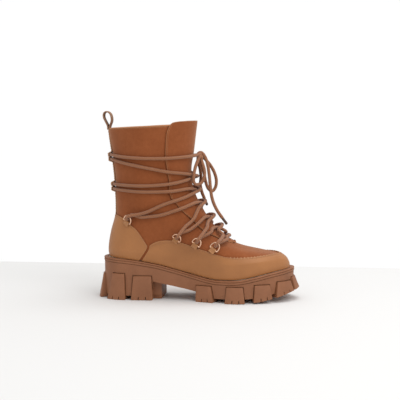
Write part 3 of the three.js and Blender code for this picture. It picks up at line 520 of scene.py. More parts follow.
def make_nap():
    """Brushed suede: short fibres, and patches where they lie the other way."""
    tree, start, end = effect("Nap", [("Vector", VECTOR, None), ("Patch scale", FLOAT, 26.0),
                                      ("Fibre scale", FLOAT, 1500.0)], [("Shade", FLOAT), ("Height", FLOAT)])
    patches = noise_at(tree, start.outputs["Vector"], start.outputs["Patch scale"], 4.0, 0.6)
    fine_scale = math_node(tree, "MULTIPLY", start.outputs["Patch scale"], 7.0)
    streaks = noise_at(tree, start.outputs["Vector"], fine_scale, 3.0, 0.6)
    fibres = noise_at(tree, start.outputs["Vector"], start.outputs["Fibre scale"], 2.0, 0.7)
    soft = math_node(tree, "MULTIPLY_ADD", streaks, 0.45, math_node(tree, "MULTIPLY", patches, 0.55))
    shade = math_node(tree, "MULTIPLY_ADD", fibres, 0.3, math_node(tree, "MULTIPLY", soft, 0.7))
    tree.links.new(shade, end.inputs["Shade"])
    tree.links.new(math_node(tree, "MULTIPLY_ADD", streaks, 0.5, fibres), end.inputs["Height"])
    return tree


def make_grain():
    """Fine pebbles of smooth leather, with soft tone changes."""
    tree, start, end = effect("Leather grain", [("Vector", VECTOR, None), ("Pebble scale", FLOAT, 900.0)],
                              [("Shade", FLOAT), ("Height", FLOAT)])
    vector = start.outputs["Vector"]
    cells = add_node(tree, "ShaderNodeTexVoronoi",
                     [("Vector", vector), ("Scale", start.outputs["Pebble scale"])],
                     feature="SMOOTH_F1").outputs["Distance"]
    tone = noise_at(tree, vector, 18.0, 4.0, 0.55)
    pores = noise_at(tree, vector, 2200.0, 1.0)
    tree.links.new(math_node(tree, "MULTIPLY_ADD", pores, 0.12, math_node(tree, "MULTIPLY", tone, 0.88)),
                   end.inputs["Shade"])
    tree.links.new(math_node(tree, "MULTIPLY_ADD", cells, -1.0, math_node(tree, "MULTIPLY", pores, 0.35)),
                   end.inputs["Height"])
    return tree


def make_braid():
    """Braided lace, from a UV map whose U runs along the lace in metres and V once round it."""
    tree, start, end = effect("Braid",
                              [("UV", VECTOR, None), ("Pitch", FLOAT, 0.0034), ("Strands", FLOAT, 4.0)],
                              [("Shade", FLOAT), ("Height", FLOAT)])
    parts = add_node(tree, "ShaderNodeSeparateXYZ", [(0, start.outputs["UV"])])
    along = math_node(tree, "DIVIDE", parts.outputs["X"], start.outputs["Pitch"])
    round_ = math_node(tree, "MULTIPLY", parts.outputs["Y"], start.outputs["Strands"])
    waves = []
    for way in (1.0, -1.0):
        turn = math_node(tree, "MULTIPLY_ADD", round_, way, along)
        wave = math_node(tree, "SINE", math_node(tree, "MULTIPLY", turn, math.pi))
        waves.append(math_node(tree, "ABSOLUTE", wave))
    weave = math_node(tree, "MAXIMUM", waves[0], waves[1])
    fuzz = noise_at(tree, start.outputs["UV"], 900.0, 2.0)
    # Shade is mostly the weave: painted shade darkens the grooves between the strands, and the fuzz adds random
    # tone.
    tree.links.new(math_node(tree, "MULTIPLY_ADD", fuzz, 0.3, math_node(tree, "MULTIPLY", weave, 0.7)),
                   end.inputs["Shade"])
    tree.links.new(weave, end.inputs["Height"])
    return tree


def make_edge_wear():
    """A mask from the distance to a panel's cut edge: a rubbed rim."""
    tree, start, end = effect("Edge wear", [("Vector", VECTOR, None), ("Width", FLOAT, 0.0012)],
                              [("Rubbed", FLOAT)])
    edge = add_node(tree, "ShaderNodeAttribute", attribute_name="edge").outputs["Fac"]
    ragged = math_node(tree, "MULTIPLY_ADD", noise_at(tree, start.outputs["Vector"], 260.0), 1.2, 0.4)
    share = math_node(tree, "DIVIDE", edge, math_node(tree, "MULTIPLY", ragged, start.outputs["Width"]))
    clamped = add_node(tree, "ShaderNodeClamp", [("Value", share)]).outputs[0]
    tree.links.new(math_node(tree, "SUBTRACT", 1.0, clamped), end.inputs["Rubbed"])
    return tree


def make_dust():
    """Soft cloudy wear of moulded rubber, with fine mould texture."""
    tree, start, end = effect("Moulded rubber", [("Vector", VECTOR, None)],
                              [("Shade", FLOAT), ("Height", FLOAT)])
    clouds = noise_at(tree, start.outputs["Vector"], 42.0, 5.0, 0.6)
    specks = noise_at(tree, start.outputs["Vector"], 1300.0, 2.0, 0.6)
    tree.links.new(math_node(tree, "MULTIPLY_ADD", specks, 0.25, math_node(tree, "MULTIPLY", clouds, 0.75)),
                   end.inputs["Shade"])
    tree.links.new(specks, end.inputs["Height"])
    return tree


def make_weave():
    """Plain knit of the lining."""
    tree, start, end = effect("Knit", [("Vector", VECTOR, None), ("Scale", FLOAT, 900.0)],
                              [("Shade", FLOAT), ("Height", FLOAT)])
    loops = []
    for way in ("X", "Z"):
        wave = add_node(tree, "ShaderNodeTexWave", [("Vector", start.outputs["Vector"]),
                        ("Scale", start.outputs["Scale"]), ("Distortion", 1.5)], bands_direction=way)
        loops.append(wave.outputs["Fac"])
    height = math_node(tree, "MULTIPLY", loops[0], loops[1])
    tone = noise_at(tree, start.outputs["Vector"], 60.0)
    # Shade is partly painted shade, darker in the gaps between the knit's loops, and partly random tone.
    tree.links.new(math_node(tree, "MULTIPLY_ADD", height, 0.4, math_node(tree, "MULTIPLY", tone, 0.6)),
                   end.inputs["Shade"])
    tree.links.new(height, end.inputs["Height"])
    return tree


ROUGH_SPREAD = 0.06  # roughness moves this far either way with the tone


def toned(colour, factor):
    return tuple(min(1.0, c * f) for c, f in zip(colour, factor)) + (1.0,)


def finish_of(name, colour, shade_and_height, dark=0.8, light=1.18, roughness=0.8, bump=0.3, depth=0.0003,
              span=(0.32, 0.68), rubbed=None, warm=(1.0, 1.0, 1.0), coordinates="Object", **shader):
    """A Principled material whose tone and bump come from a group. shader holds plain socket values."""
    material = bpy.data.materials.new(name)
    material.use_nodes = True
    tree = material.node_tree
    surface = tree.nodes["Principled BSDF"]
    where = add_node(tree, "ShaderNodeTexCoord").outputs[coordinates]
    pattern = add_node(tree, "ShaderNodeGroup", node_tree=shade_and_height)
    tree.links.new(where, pattern.inputs[0])
    spread = add_node(tree, "ShaderNodeMapRange", [("Value", pattern.outputs["Shade"]), ("From Min", span[0]),
                                                   ("From Max", span[1])])
    tone = add_node(tree, "ShaderNodeMix", [("Factor", spread.outputs[0])], data_type="RGBA")
    tone.inputs["A"].default_value = toned(colour, [dark * w for w in (1.0, 0.97, 0.94)])
    tone.inputs["B"].default_value = toned(colour, [light * w for w in warm])
    base = tone.outputs["Result"]
    if rubbed:
        wear = add_node(tree, "ShaderNodeGroup", [("Vector", where)], node_tree=EFFECTS["edge"])
        strength, tint = rubbed
        mask = math_node(tree, "MULTIPLY", wear.outputs["Rubbed"], strength)
        worn = add_node(tree, "ShaderNodeMix", [("Factor", mask)], data_type="RGBA")
        tree.links.new(base, worn.inputs["A"])
        worn.inputs["B"].default_value = tint + (1.0,)
        base = worn.outputs["Result"]
    tree.links.new(base, surface.inputs["Base Color"])
    rough = add_node(tree, "ShaderNodeMapRange",
                     [("Value", pattern.outputs["Shade"]), ("To Min", roughness + ROUGH_SPREAD),
                      ("To Max", roughness - ROUGH_SPREAD)])
    tree.links.new(rough.outputs[0], surface.inputs["Roughness"])
    relief = add_node(tree, "ShaderNodeBump", [("Strength", bump), ("Distance", depth),
                                               ("Height", pattern.outputs["Height"])])
    tree.links.new(relief.outputs[0], surface.inputs["Normal"])
    for socket, value in shader.items():
        surface.inputs[socket.replace("_", " ")].default_value = value
    return material


EFFECTS = {}
LOOKS = {}


def make_looks():
    """Builds the shared effects and the boot's materials."""
    colours = bpy.context.scene.boot_colours
    EFFECTS.update(nap=make_nap(), grain=make_grain(), braid=make_braid(), edge=make_edge_wear(),
                   rubber=make_dust(), knit=make_weave())
    suede, leather = tuple(colours.suede), tuple(colours.leather)
    fuzz = {"Sheen_Weight": 0.35, "Sheen_Roughness": 0.45, "Specular_IOR_Level": 0.15}
    LOOKS.update(
        suede=finish_of("Suede", suede, EFFECTS["nap"], 0.84, 1.16, 0.92, 0.35, 0.0004,
                        rubbed=(0.45, (0.46, 0.225, 0.105)), warm=(1.0, 1.06, 1.15),
                        Sheen_Tint=(1.0, 0.72, 0.5, 1.0), **fuzz),
        suede_edge=finish_of("Suede cut edge", (0.50, 0.27, 0.135), EFFECTS["nap"], 0.8, 1.15, 0.95, 0.5,
                             0.0003),
        loop=finish_of("Loop webbing", (0.27, 0.145, 0.085), EFFECTS["nap"], 0.85, 1.15, 0.9, 0.3, 0.0002),
        leather=finish_of("Smooth leather", leather, EFFECTS["grain"], 0.86, 1.12, 0.50, 0.22, 0.00016,
                          rubbed=(0.25, (0.54, 0.28, 0.13)), Specular_IOR_Level=0.42,
                          Coat_Weight=0.06, Coat_Roughness=0.45),
        leather_edge=finish_of("Leather cut edge", (0.30, 0.135, 0.055), EFFECTS["nap"], 0.8, 1.2, 0.85, 0.4,
                               0.0003),
        rubber=finish_of("Moulded rubber", tuple(colours.rubber), EFFECTS["rubber"], 0.86, 1.12, 0.58, 0.16,
                         0.0002, Specular_IOR_Level=0.4),
        # The lace's wide tone range spreads the braid's painted groove shade over its colour.
        lace=finish_of("Braided lace", tuple(colours.lace), EFFECTS["braid"], 0.62, 1.22, 0.86, 0.8, 0.0006,
                       span=(0.35, 0.95), coordinates="UV", Specular_IOR_Level=0.2, Sheen_Weight=0.2),
        metal=finish_of("Plated wire", tuple(colours.metal), EFFECTS["rubber"], 0.92, 1.06, 0.24, 0.05,
                        0.0001, Metallic=1.0),
        # The lining and the footbed take the knit's painted gap shade into their colour.
        lining=finish_of("Knit lining", tuple(colours.lining), EFFECTS["knit"], 0.8, 1.15, 0.92, 0.5, 0.0004,
                         span=(0.2, 0.7), Sheen_Weight=0.3),
        footbed=finish_of("Footbed cloth", toned(tuple(colours.lining), (0.95, 0.95, 0.95))[:3],
                          EFFECTS["knit"], 0.82, 1.12, 0.9, 0.5, 0.0004, span=(0.2, 0.7)),
        thread=finish_of("Thread", tuple(colours.thread), EFFECTS["nap"], 0.8, 1.2, 0.7, 0.3, 0.0002),
        pale_thread=finish_of("Pale thread", (0.52, 0.29, 0.14), EFFECTS["nap"], 0.85, 1.15, 0.7, 0.3,
                              0.0002),
        board=finish_of("Fibre board", (0.42, 0.32, 0.21), EFFECTS["nap"], 0.8, 1.15, 0.9, 0.3, 0.0003),
        foam=finish_of("Foam", (0.66, 0.58, 0.46), EFFECTS["rubber"], 0.9, 1.06, 0.95, 0.4, 0.0003),
        steel=finish_of("Brushed steel", (0.42, 0.43, 0.45), EFFECTS["rubber"], 0.9, 1.08, 0.35, 0.1, 0.0002,
                        Metallic=1.0),
        aglet=finish_of("Lace tip", (0.085, 0.040, 0.020), EFFECTS["rubber"], 0.85, 1.15, 0.32, 0.1, 0.0001,
                        Coat_Weight=0.2),
    )


def edge_distance(bm, limit=0.006):
    """Stores each vertex's distance to the sheet's border as the attribute edge."""
    layer = bm.verts.layers.float.new("edge")
    border = np.array([v.co for v in bm.verts if v.is_boundary])
    for vert in bm.verts:
        gaps = border - np.array(vert.co)
        vert[layer] = min(limit, math.sqrt((gaps * gaps).sum(axis=1).min()))


# ---- Stitching ----
def stitch_row(line, out, length, gap, radius, turned=False):
    """Thread stitches along a line in millimetres, raised on the outward directions out."""
    bm = bmesh.new()
    run = length_along(line)
    count = int(run[-1] / (length + gap))
    for k in range(count):
        at = (k + 0.5) * (length + gap)
        place_ = np.array([np.interp(at, run, line[:, i]) for i in range(3)])
        ahead = np.array([np.interp(min(at + 0.4, run[-1]), run, line[:, i]) for i in range(3)]) - \
            np.array([np.interp(max(at - 0.4, 0), run, line[:, i]) for i in range(3)])
        up = np.array([np.interp(at, run, out[:, i]) for i in range(3)])
        along = Vector(ahead).normalized()
        up = Vector(up).normalized()
        across = up.cross(along).normalized()
        if turned:
            along, across = across, -along
        turn = Matrix((along, across, up)).transposed().to_4x4()
        size = Matrix.Diagonal((length / 2, radius * 1.25, radius, 1)).to_4x4()
        spot = Matrix.Translation(Vector(metres(place_)))
        poles_along = Matrix.Rotation(math.pi / 2, 4, "Y")
        bmesh.ops.create_uvsphere(bm, u_segments=8, v_segments=4, radius=1.0,
                                  matrix=spot @ turn @ Matrix.Scale(MM, 4) @ size @ poles_along)
    return bm


def seam(angles, stations, depth, turned=False, length=None):
    """A stitch row along angles and stations, lying on a ply whose face is at depth."""
    sizes = bpy.context.scene.boot_sizes
    line = under(angles, stations, depth)
    out = under(angles, stations, depth - 1.0) - line
    stitch = (length or sizes.stitch_length / MM)
    return stitch_row(line, out, stitch, sizes.stitch_gap / MM if not turned else 1.9,
                      sizes.thread / MM, turned)


# ---- Solids from a grid of cells ----
def cells_mesh(us, vs, point, keep=None, bevel=0.0, rim=None, segments=2):
    """A closed solid: cells of the (u, v) grid, drawn through w from 0 to 1 and mapped by point(u, v, w).

    keep(u, v) says which cells stay, and rim(u, v, w) which corners may be bevelled.
    """
    bm = bmesh.new()
    bmesh.ops.create_grid(bm, x_segments=len(us) - 1, y_segments=len(vs) - 1, size=0.5)
    for vert in bm.verts:
        i = round((vert.co.x + 0.5) * (len(us) - 1))
        j = round((vert.co.y + 0.5) * (len(vs) - 1))
        vert.co = (us[i], vs[j], 0.0)
    if keep:
        gone = [f for f in bm.faces if not keep(*f.calc_center_median()[:2])]
        bmesh.ops.delete(bm, geom=gone, context="FACES")
    drawn = bmesh.ops.extrude_face_region(bm, geom=bm.faces[:])
    moved = [g for g in drawn["geom"] if isinstance(g, bmesh.types.BMVert)]
    bmesh.ops.translate(bm, vec=(0, 0, 1), verts=moved)
    shares = np.array([v.co[:] for v in bm.verts])
    for vert, co in zip(bm.verts, metres(point(shares[:, 0], shares[:, 1], shares[:, 2]))):
        vert.co = co
    on_rim = {v for v, (u, w, d) in zip(bm.verts, shares) if rim is None or rim(u, w, d)}
    bmesh.ops.remove_doubles(bm, verts=bm.verts, dist=2e-6)
    bmesh.ops.recalc_face_normals(bm, faces=bm.faces)
    if bevel:
        sharp = [e for e in bm.edges if e.is_manifold and e.calc_face_angle(0.0) > math.radians(38)
                 and all(v in on_rim for v in e.verts)]
        bmesh.ops.bevel(bm, geom=sharp, offset=bevel, offset_type="OFFSET", segments=segments, profile=0.5,
                        affect="EDGES", clamp_overlap=True, material=-1)
    return bm


def crisp(piece, angle=32):
    """Sharp shading over edges steeper than an angle."""
    mesh = piece.data
    mesh.set_sharp_from_angle(angle=math.radians(angle))
    return piece


# ---- Laces ----
RING_SPOTS = {"ankle": (-96.9, 110.8), "rear": (-26.0, 88.2), "middle": (1.8, 81.6), "front": (26.0, 74.4)}
RING_TURN = math.radians(53)
SIDES = {"outer": -1, "inner": 1}
LACE_STEP = 11.5
STATION_SCALE = 15.0
OVER = 2 * LACE_RADIUS + 1.2
TURN = 26.0


def unit(v):
    return v / np.linalg.norm(v)


def ring_frame(name, side):
    """Axes at a ring: out of the skin, along the arc's pull, along the bar, and the leaning ring's own."""
    angle, station = place(*RING_SPOTS[name])[0]
    foot = under(side * angle, station, 0)
    out = unit(under(side * angle, station, -1) - foot)
    pull = np.array([math.cos(RING_TURN), 0, math.sin(RING_TURN)])
    pull = unit(pull - out * pull.dot(out))
    lean = math.radians(RING["tilt"])
    arc = pull * math.cos(lean) + out * math.sin(lean)
    face = out * math.cos(lean) - pull * math.sin(lean)
    axis = foot + out * RING["lift"]
    return {"foot": foot, "out": out, "pull": pull, "bar": unit(np.cross(out, pull)), "arc": arc, "face": face,
            "axis": axis, "apex": axis + arc * RING["reach"]}


RING_FRAMES = {f"{name}_{side}": ring_frame(name, SIDES[side]) for name in RING_SPOTS for side in SIDES}


def rest_lift(angle, station):
    turn = np.abs((angle + 180) % 360 - 180)
    edge = flap_angle(np.clip(station, 6.2, 15))
    return LACE_RADIUS + 4 * GAP - SUEDE * smooth((turn - edge - 3) / 12)


def strand(spots):
    """A stretch of lace over the skin, through spots of angle, height and lift."""
    rows = np.array([[a, STATION_SCALE * float(station_at(a, z)), lift] for a, z, *rest in spots
                     for lift in [rest[0] if rest else 0.0]])
    dense = chordal(rows, 0.5)
    run = length_along(dense)
    count = max(2, int(round(run[-1] / LACE_STEP)))
    at = np.linspace(0, run[-1], count + 1)
    angle, up, lift = (np.interp(at, run, dense[:, k]) for k in range(3))
    station = up / STATION_SCALE
    return list(under(angle, station, -rest_lift(angle, station) - lift))


def beside(side, x, z, lift=0.0, turns=0):
    return [side * place(x, z)[0, 0] - 360 * turns, z, lift]


def hairpin(frame):
    """The lace's turn through a ring: in over the arc, back under it."""
    far = RING["wire"] + LACE_PLAY + LACE_RADIUS
    spots = [(1.2, far), (-far * 0.7, far * 0.72), (-far, 0), (-far * 0.7, -far * 0.72), (1.2, -far)]
    return [frame["apex"] + frame["arc"] * along + frame["face"] * high for along, high in spots]


def held_lace():
    """The whole held lace, from the knot's outer side through every ring and back to its inner side."""
    def out(x, z, lift=0.0, turns=0):
        return beside(-1, x, z, lift, turns)

    def inn(x, z, lift=0.0, turns=0):
        return beside(1, x, z, lift, turns)

    def near(name):
        return hairpin(RING_FRAMES[f"{name}_outer"])

    def far(name):
        return hairpin(RING_FRAMES[f"{name}_inner"])

    first = [
        [KNOT + [-4.4, -9.6, 0]],
        strand([[-32, 203.6, 0.6], out(-58, 201), out(-100, 202.6), [-158, 204.8], [-180, 205.2], [-202, 205],
                inn(-100, 203, 0, 1), inn(-62, 194, 0, 1), inn(-30, 184, 0, 1), [TURN - 360, 179],
                [-360, 174.5, 0.5], [-TURN - 360, 170.2], out(-46, 164, 0, 1), out(-84, 162.6, 0, 1),
                [-518, 163], [-540, 163], [-562, 163], inn(-96, 162.4, 0, 2), inn(-62, 159.6, 0, 2),
                inn(-32, 158.8, 0, 2), [TURN - 720, 157.6], [-720, 153, OVER], [-TURN - 720, 148.8],
                out(-40, 138, 0, 2), out(-76, 123.4, 2.6, 2)]),
        near("ankle"),
        strand([out(-76, 118.6, 1.6), out(-52, 121), out(-26, 128.6), [-TURN, 136.4], [0, 134.4], [TURN, 128.6],
                inn(-6, 113, 1), inn(-13.4, 105.4, 3.6)]),
        far("rear"),
        strand([inn(-9, 100, 1.6), inn(0, 106.4, 0.6), [TURN, 115.4], [0, 113.6, OVER], [-TURN, 108.4],
                out(12, 99.6, 5.4)]),
        near("middle"),
        strand([out(19, 94.4, 1.6), [-TURN, 99.8], [0, 98.6], [TURN, 93.6, 0.8], inn(34, 88.8, 2.6)]),
        far("front"),
    ]
    bar = strand([inn(41.5, 83.4, 1.6), [TURN, 85.6], [0, 87.2], [-TURN, 85.6], out(41.5, 83.4, 1.6)])
    second = [
        near("front")[::-1],
        strand([out(34, 88.8, 2.6), [-TURN, 93.6, 0.8], [0, 98.6, OVER], [TURN, 99.8], inn(19, 94.4, 1.6)]),
        far("middle")[::-1],
        strand([inn(12, 99.6, 5.4), [TURN, 108.4], [0, 113.6], [-TURN, 115.4], out(0, 106.4, 0.6),
                out(-9, 100, 1.6)]),
        near("rear")[::-1],
        strand([out(-13.4, 105.4, 3.6), out(-6, 113, 1), [-TURN, 128.6], [0, 134.4, OVER], [TURN, 136.4],
                inn(-26, 128.6), inn(-52, 121), inn(-76, 118.6, 1.6)]),
        far("ankle")[::-1],
        strand([inn(-76, 123.4, 2.6), inn(-40, 138), [TURN, 148.8], [0, 153, 0.5], [-TURN, 157],
                out(-38, 154.6), out(-84, 154.6), [-158, 156.2], [-180, 156.2], [-202, 156.4],
                inn(-96, 158.4, OVER, 1), inn(-80, 163.4, OVER, 1), inn(-58, 165, 0, 1), inn(-36, 166.4, 0, 1),
                [TURN - 360, 170.2], [-360, 174.5, OVER], [-TURN - 360, 178.4], out(-42, 182.8, 0, 1),
                out(-92, 192.6, 0, 1), [-518, 198.6], [-540, 198.6], [-562, 198.8], inn(-103, 200, OVER, 2),
                inn(-84, 202.6, OVER, 2), inn(-58, 203, 0, 2), [32 - 720, 203.6, 0.6]]),
        [KNOT + [-4.4, 9.6, 0]],
    ]
    return np.array([p for part in first + [bar] + second for p in part])


BOW = {
    "bow_loop_outer": [
        [1.4, -7.6, 200.4], [-0.4, -10.8, 195.4], [-2.8, -16.4, 186.8], [-4.4, -20.4, 174.6], [-4.4, -19.6, 167],
        [-1.1, -15, 163], [5.2, -10, 165.4], [9.3, -7.6, 174.3], [9, -6.4, 184], [6, -4.6, 193.4],
        [4.6, -3.6, 197.2],
    ],
    "bow_loop_inner": [
        [6.6, 6.2, 201], [10.4, 9.6, 196.2], [15.9, 14, 188.9], [21.3, 18, 177.9], [23.8, 20, 166.2],
        [22.3, 20, 156.7], [18.2, 18, 151.6], [13, 15, 154.8], [9.4, 12, 164.4], [7, 8.6, 178.3],
        [4.4, 4.6, 191], [3, 3, 196.4],
    ],
    "tail_outer": [
        [9.7, -1.2, 201.6], [12.2, -2, 195.7], [14.4, -3, 186.2], [16.4, -4, 172], [17.8, -5, 157.8],
        [19.4, -5, 146.4], [22.4, -5, 136], [28.4, -5, 124], [35, -4, 114.6],
    ],
    "tail_inner": [
        [-1.6, 6.6, 200], [-1.6, 10.6, 194], [0.6, 14.6, 184], [1.6, 16.6, 172], [0.8, 17, 160], [3, 17, 150],
        [6.6, 17, 141],
    ],
}
AGLET = {"radius": 1.7, "length": 11.0}
TUBE_STEP = 1.3


def spread_points(points, count):
    run = length_along(points)
    at = np.linspace(0, run[-1], count)
    return np.stack([np.interp(at, run, points[:, k]) for k in range(3)], axis=-1)


class BOOT_OT_cords(bpy.types.Operator):
    """Makes the bow's two loops and two hanging tails, with their tips"""

    bl_idname = "boot.cords"
    bl_label = "Bow and tails"

    def execute(self, context):
        for name, spots in BOW.items():
            line = chordal(spots, TUBE_STEP)
            piece = finished(name.replace("bow_", "").replace("tail", "lace_tail"),
                             tube_mesh(line, LACE_RADIUS, 14, end_round=False), LOOKS["lace"])
            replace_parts(piece, name)
            if name.startswith("tail"):
                tip = self.tip(name.replace("tail", "aglet"), line)
            tuple(metres(line[0]))
            [tuple(p) for p in metres(spread_points(line, 40))]
        return {"FINISHED"}

    def tip(self, name, line):
        """A crimped tube on a tail's end."""
        ahead = unit(line[-1] - line[-3])
        start = line[-1] - ahead * 0.6
        run = np.linspace(0, AGLET["length"] + 0.9, 40)
        crimp = 1 + 0.05 * np.sin(run * 2.6) * (run < 5)
        tip = finished(name.replace("aglet", "lace_tip"),
                       tube_mesh(start + ahead * run[:, None], AGLET["radius"] * 1.16 * crimp, 16),
                       LOOKS["aglet"])
        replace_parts(tip, name)
        return tip


class BOOT_OT_lace(bpy.types.Operator):
    """Makes the lace that is wound round the shaft and through the rings, and the bow's knot"""

    bl_idname = "boot.lace"
    bl_label = "Held lace and knot"

    def execute(self, context):
        line = chordal(held_lace(), TUBE_STEP)
        lace = finished("held_lace", tube_mesh(line, LACE_RADIUS, 12, end_round=False), LOOKS["lace"])
        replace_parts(lace, "lace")
        turn = np.linspace(0, 2 * np.pi, 60)
        wrap = KNOT + np.stack([3.5 * np.cos(turn), 1.5 * np.sin(turn + 0.6) - 0.4, 3.7 * np.sin(turn)],
                               axis=-1)
        strands = [
            [KNOT + [-4.4, -9.6, 0], KNOT + [-1.6, -5.4, 1.2], KNOT + [0.6, 0, 1.4], KNOT + [2.4, 4.4, -0.6],
             BOW["bow_loop_inner"][0]],
            [KNOT + [-4.4, 9.6, 0], KNOT + [-1.8, 5.6, 1.0], KNOT + [0.2, 0, -1.6], KNOT + [0.2, -5.0, -1.8],
             BOW["bow_loop_outer"][0]],
            [KNOT + [-0.6, 3.2, 1.8], KNOT + [3.4, 1.0, 2.0], BOW["tail_outer"][0]],
            [KNOT + [0.6, -2.4, -1.6], KNOT + [-2.6, 2.6, -2.0], BOW["tail_inner"][0]],
            [KNOT + [0.4, -2.6, 0.4], KNOT + [2.4, -3.2, -3.6], BOW["bow_loop_outer"][-1]],
            [KNOT + [-0.4, 2.4, 0.4], KNOT + [1.2, 2.8, -3.8], BOW["bow_loop_inner"][-1]],
        ]
        tubes = [tube_mesh(chordal(s, 0.8), LACE_RADIUS, 12, end_round=False) for s in strands]
        tubes.append(tube_mesh(wrap[:-1], LACE_RADIUS * 0.95, 12, end_round=False))
        tubes.append(tube_mesh(wrap[::-1] + [0.2, 2.6, 0.3], LACE_RADIUS * 0.8, 12, end_round=False))
        knot = finished("lace_knot", joined(tubes), LOOKS["lace"])
        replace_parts(knot, "bow_knot")
        return {"FINISHED"}


# ---- Stage ----
class BOOT_OT_stage(bpy.types.Operator):
    """Makes the camera, the pale floor and the soft studio light"""

    bl_idname = "boot.stage"
    bl_label = "Studio"

    def execute(self, context):
        scene = context.scene
        scene.view_settings.view_transform = "Standard"
        camera = bpy.data.cameras.new("Camera")
        camera.lens = 88.2
        camera.sensor_width = 36.0
        camera.clip_start = 0.05
        view = bpy.data.objects.new("Camera", camera)
        view.location = (0.1631, -1.3898, 0.2615)
        view.rotation_euler = (math.radians(85.04), 0.0, math.radians(6.6))
        scene.collection.objects.link(view)
        scene.camera = view

        bm = bmesh.new()
        bmesh.ops.create_grid(bm, x_segments=1, y_segments=1, size=1.0)
        bmesh.ops.scale(bm, vec=(3.0, 1.2, 1.0), verts=bm.verts)
        bmesh.ops.translate(bm, vec=(0.0, -0.90, -0.0002), verts=bm.verts)
        paper = bpy.data.materials.new("Studio floor")
        paper.use_nodes = True
        tree = paper.node_tree
        where = add_node(tree, "ShaderNodeTexCoord").outputs["Object"]
        tone = add_node(tree, "ShaderNodeMapRange", [("Value", noise_at(tree, where, 3.0)), ("To Min", 0.985),
                                                     ("To Max", 1.0)])
        tint = add_node(tree, "ShaderNodeMix", [("Factor", tone.outputs[0])], data_type="RGBA")
        tint.inputs["A"].default_value = (0.0, 0.0, 0.0, 1.0)
        tint.inputs["B"].default_value = tuple(scene.boot_colours.floor) + (1.0,)
        tree.links.new(tint.outputs["Result"], tree.nodes["Principled BSDF"].inputs["Base Color"])
        tree.nodes["Principled BSDF"].inputs["Roughness"].default_value = 0.9
        tree.nodes["Principled BSDF"].inputs["Specular IOR Level"].default_value = 0.1
        floor = finished("studio_floor", bm, paper, body=None, shade=False)

        world = bpy.data.worlds.new("Studio")
        world.use_nodes = True
        tree = world.node_tree
        seen = add_node(tree, "ShaderNodeLightPath").outputs["Is Camera Ray"]
        strength = math_node(tree, "MULTIPLY_ADD", seen, 0.22, 0.80)
        tree.nodes["Background"].inputs["Color"].default_value = (0.985, 0.985, 0.985, 1.0)
        tree.links.new(strength, tree.nodes["Background"].inputs["Strength"])
        scene.world = world
        self.lamp(scene, "Key", (1.05, -1.15, 1.5), 1.2, 12.5)
        self.lamp(scene, "Top", (0.35, 0.1, 1.8), 1.1, 12.0)
        return {"FINISHED"}

    def lamp(self, scene, name, spot, size, power):
        light = bpy.data.lights.new(name, "AREA")
        light.size = size
        light.energy = power
        lamp = bpy.data.objects.new(name, light)
        lamp.location = spot
        lamp.rotation_euler = (Vector((0, 0, 0.1)) - Vector(spot)).to_track_quat("-Z", "Y").to_euler()
        scene.collection.objects.link(lamp)


# ---- Sole ----
SIDE_LUGS = [
    ((-124.5, -100), (-119, -101.5), 37.0), ((-92, -61), (-89, -63), 34.0), ((1, 26.5), (1, 22.5), 22.5),
    ((43, 70.5), (45, 68), 22.8), ((82.5, 107), (84, 104.5), 25.5), ((112, 132.6), (115, 132.2), 28.5),
]
END_LUGS = [(0, 13.5, 12.5, 32.5), (180, 14.5, 12.0, 34.5)]
MIDDLE_BLOCKS = (-106, -76, 15, 50, 84, 108)
SLIT_SHARES = (0.36, 0.70)
SLIT_WIDTH = 1.1
SLIT_HEIGHT = 4.5
ARCH_FRONT = 1.0
ARCH_LOW = 13.4
BREAST = -50.0
BREAST_HIGH = 24.0
SIDE_BREAST = -61.0
BREAST_GROOVES = (0.17, 0.34, 0.66, 0.83)  # upright cuts in the heel's breast, as shares of its width
GROOVE_START = 0.7
GROOVE_HALF = 0.012
GROOVE = 0.9  # the moulded line round each lug: its width, and its depth from the welt's line
GROOVE_DEPTH = 3.4
SIDE_SHARE = 0.355  # the heel's sides step back past this share of the width


def sole_floor(x, across):
    """Height of the outsole base's lower face, with the arch between the ball and the heel's breast."""
    breast = np.where(np.abs(across - 0.5) > SIDE_SHARE, SIDE_BREAST, BREAST)
    arch = BREAST_HIGH + (x - BREAST) * (ARCH_LOW - BREAST_HIGH) / (ARCH_FRONT - BREAST)
    hollow = (x > breast + 0.01) & (x < ARCH_FRONT + 0.01)
    return np.where(hollow, arch, tread_z(x) + TREAD_DEPTH)


def cut_out(solid, tools):
    """A bmesh with several others cut out of it."""
    bodies = []
    for part in (solid, joined(tools)):
        mesh = bpy.data.meshes.new("part")
        part.to_mesh(mesh)
        part.free()
        body = bpy.data.objects.new("part", mesh)
        bpy.context.scene.collection.objects.link(body)
        bodies.append(body)
    cut = bodies[0].modifiers.new("Cut", "BOOLEAN")
    cut.operation = "DIFFERENCE"
    cut.solver = "EXACT"
    cut.use_self = True
    cut.object = bodies[1]
    graph = bpy.context.evaluated_depsgraph_get()
    result = bpy.data.meshes.new_from_object(bodies[0].evaluated_get(graph))
    bm = bmesh.new()
    bm.from_mesh(result)
    bpy.data.meshes.remove(result)
    for body in bodies:
        mesh = body.data
        bpy.data.objects.remove(body)
        bpy.data.meshes.remove(mesh)
    return bm


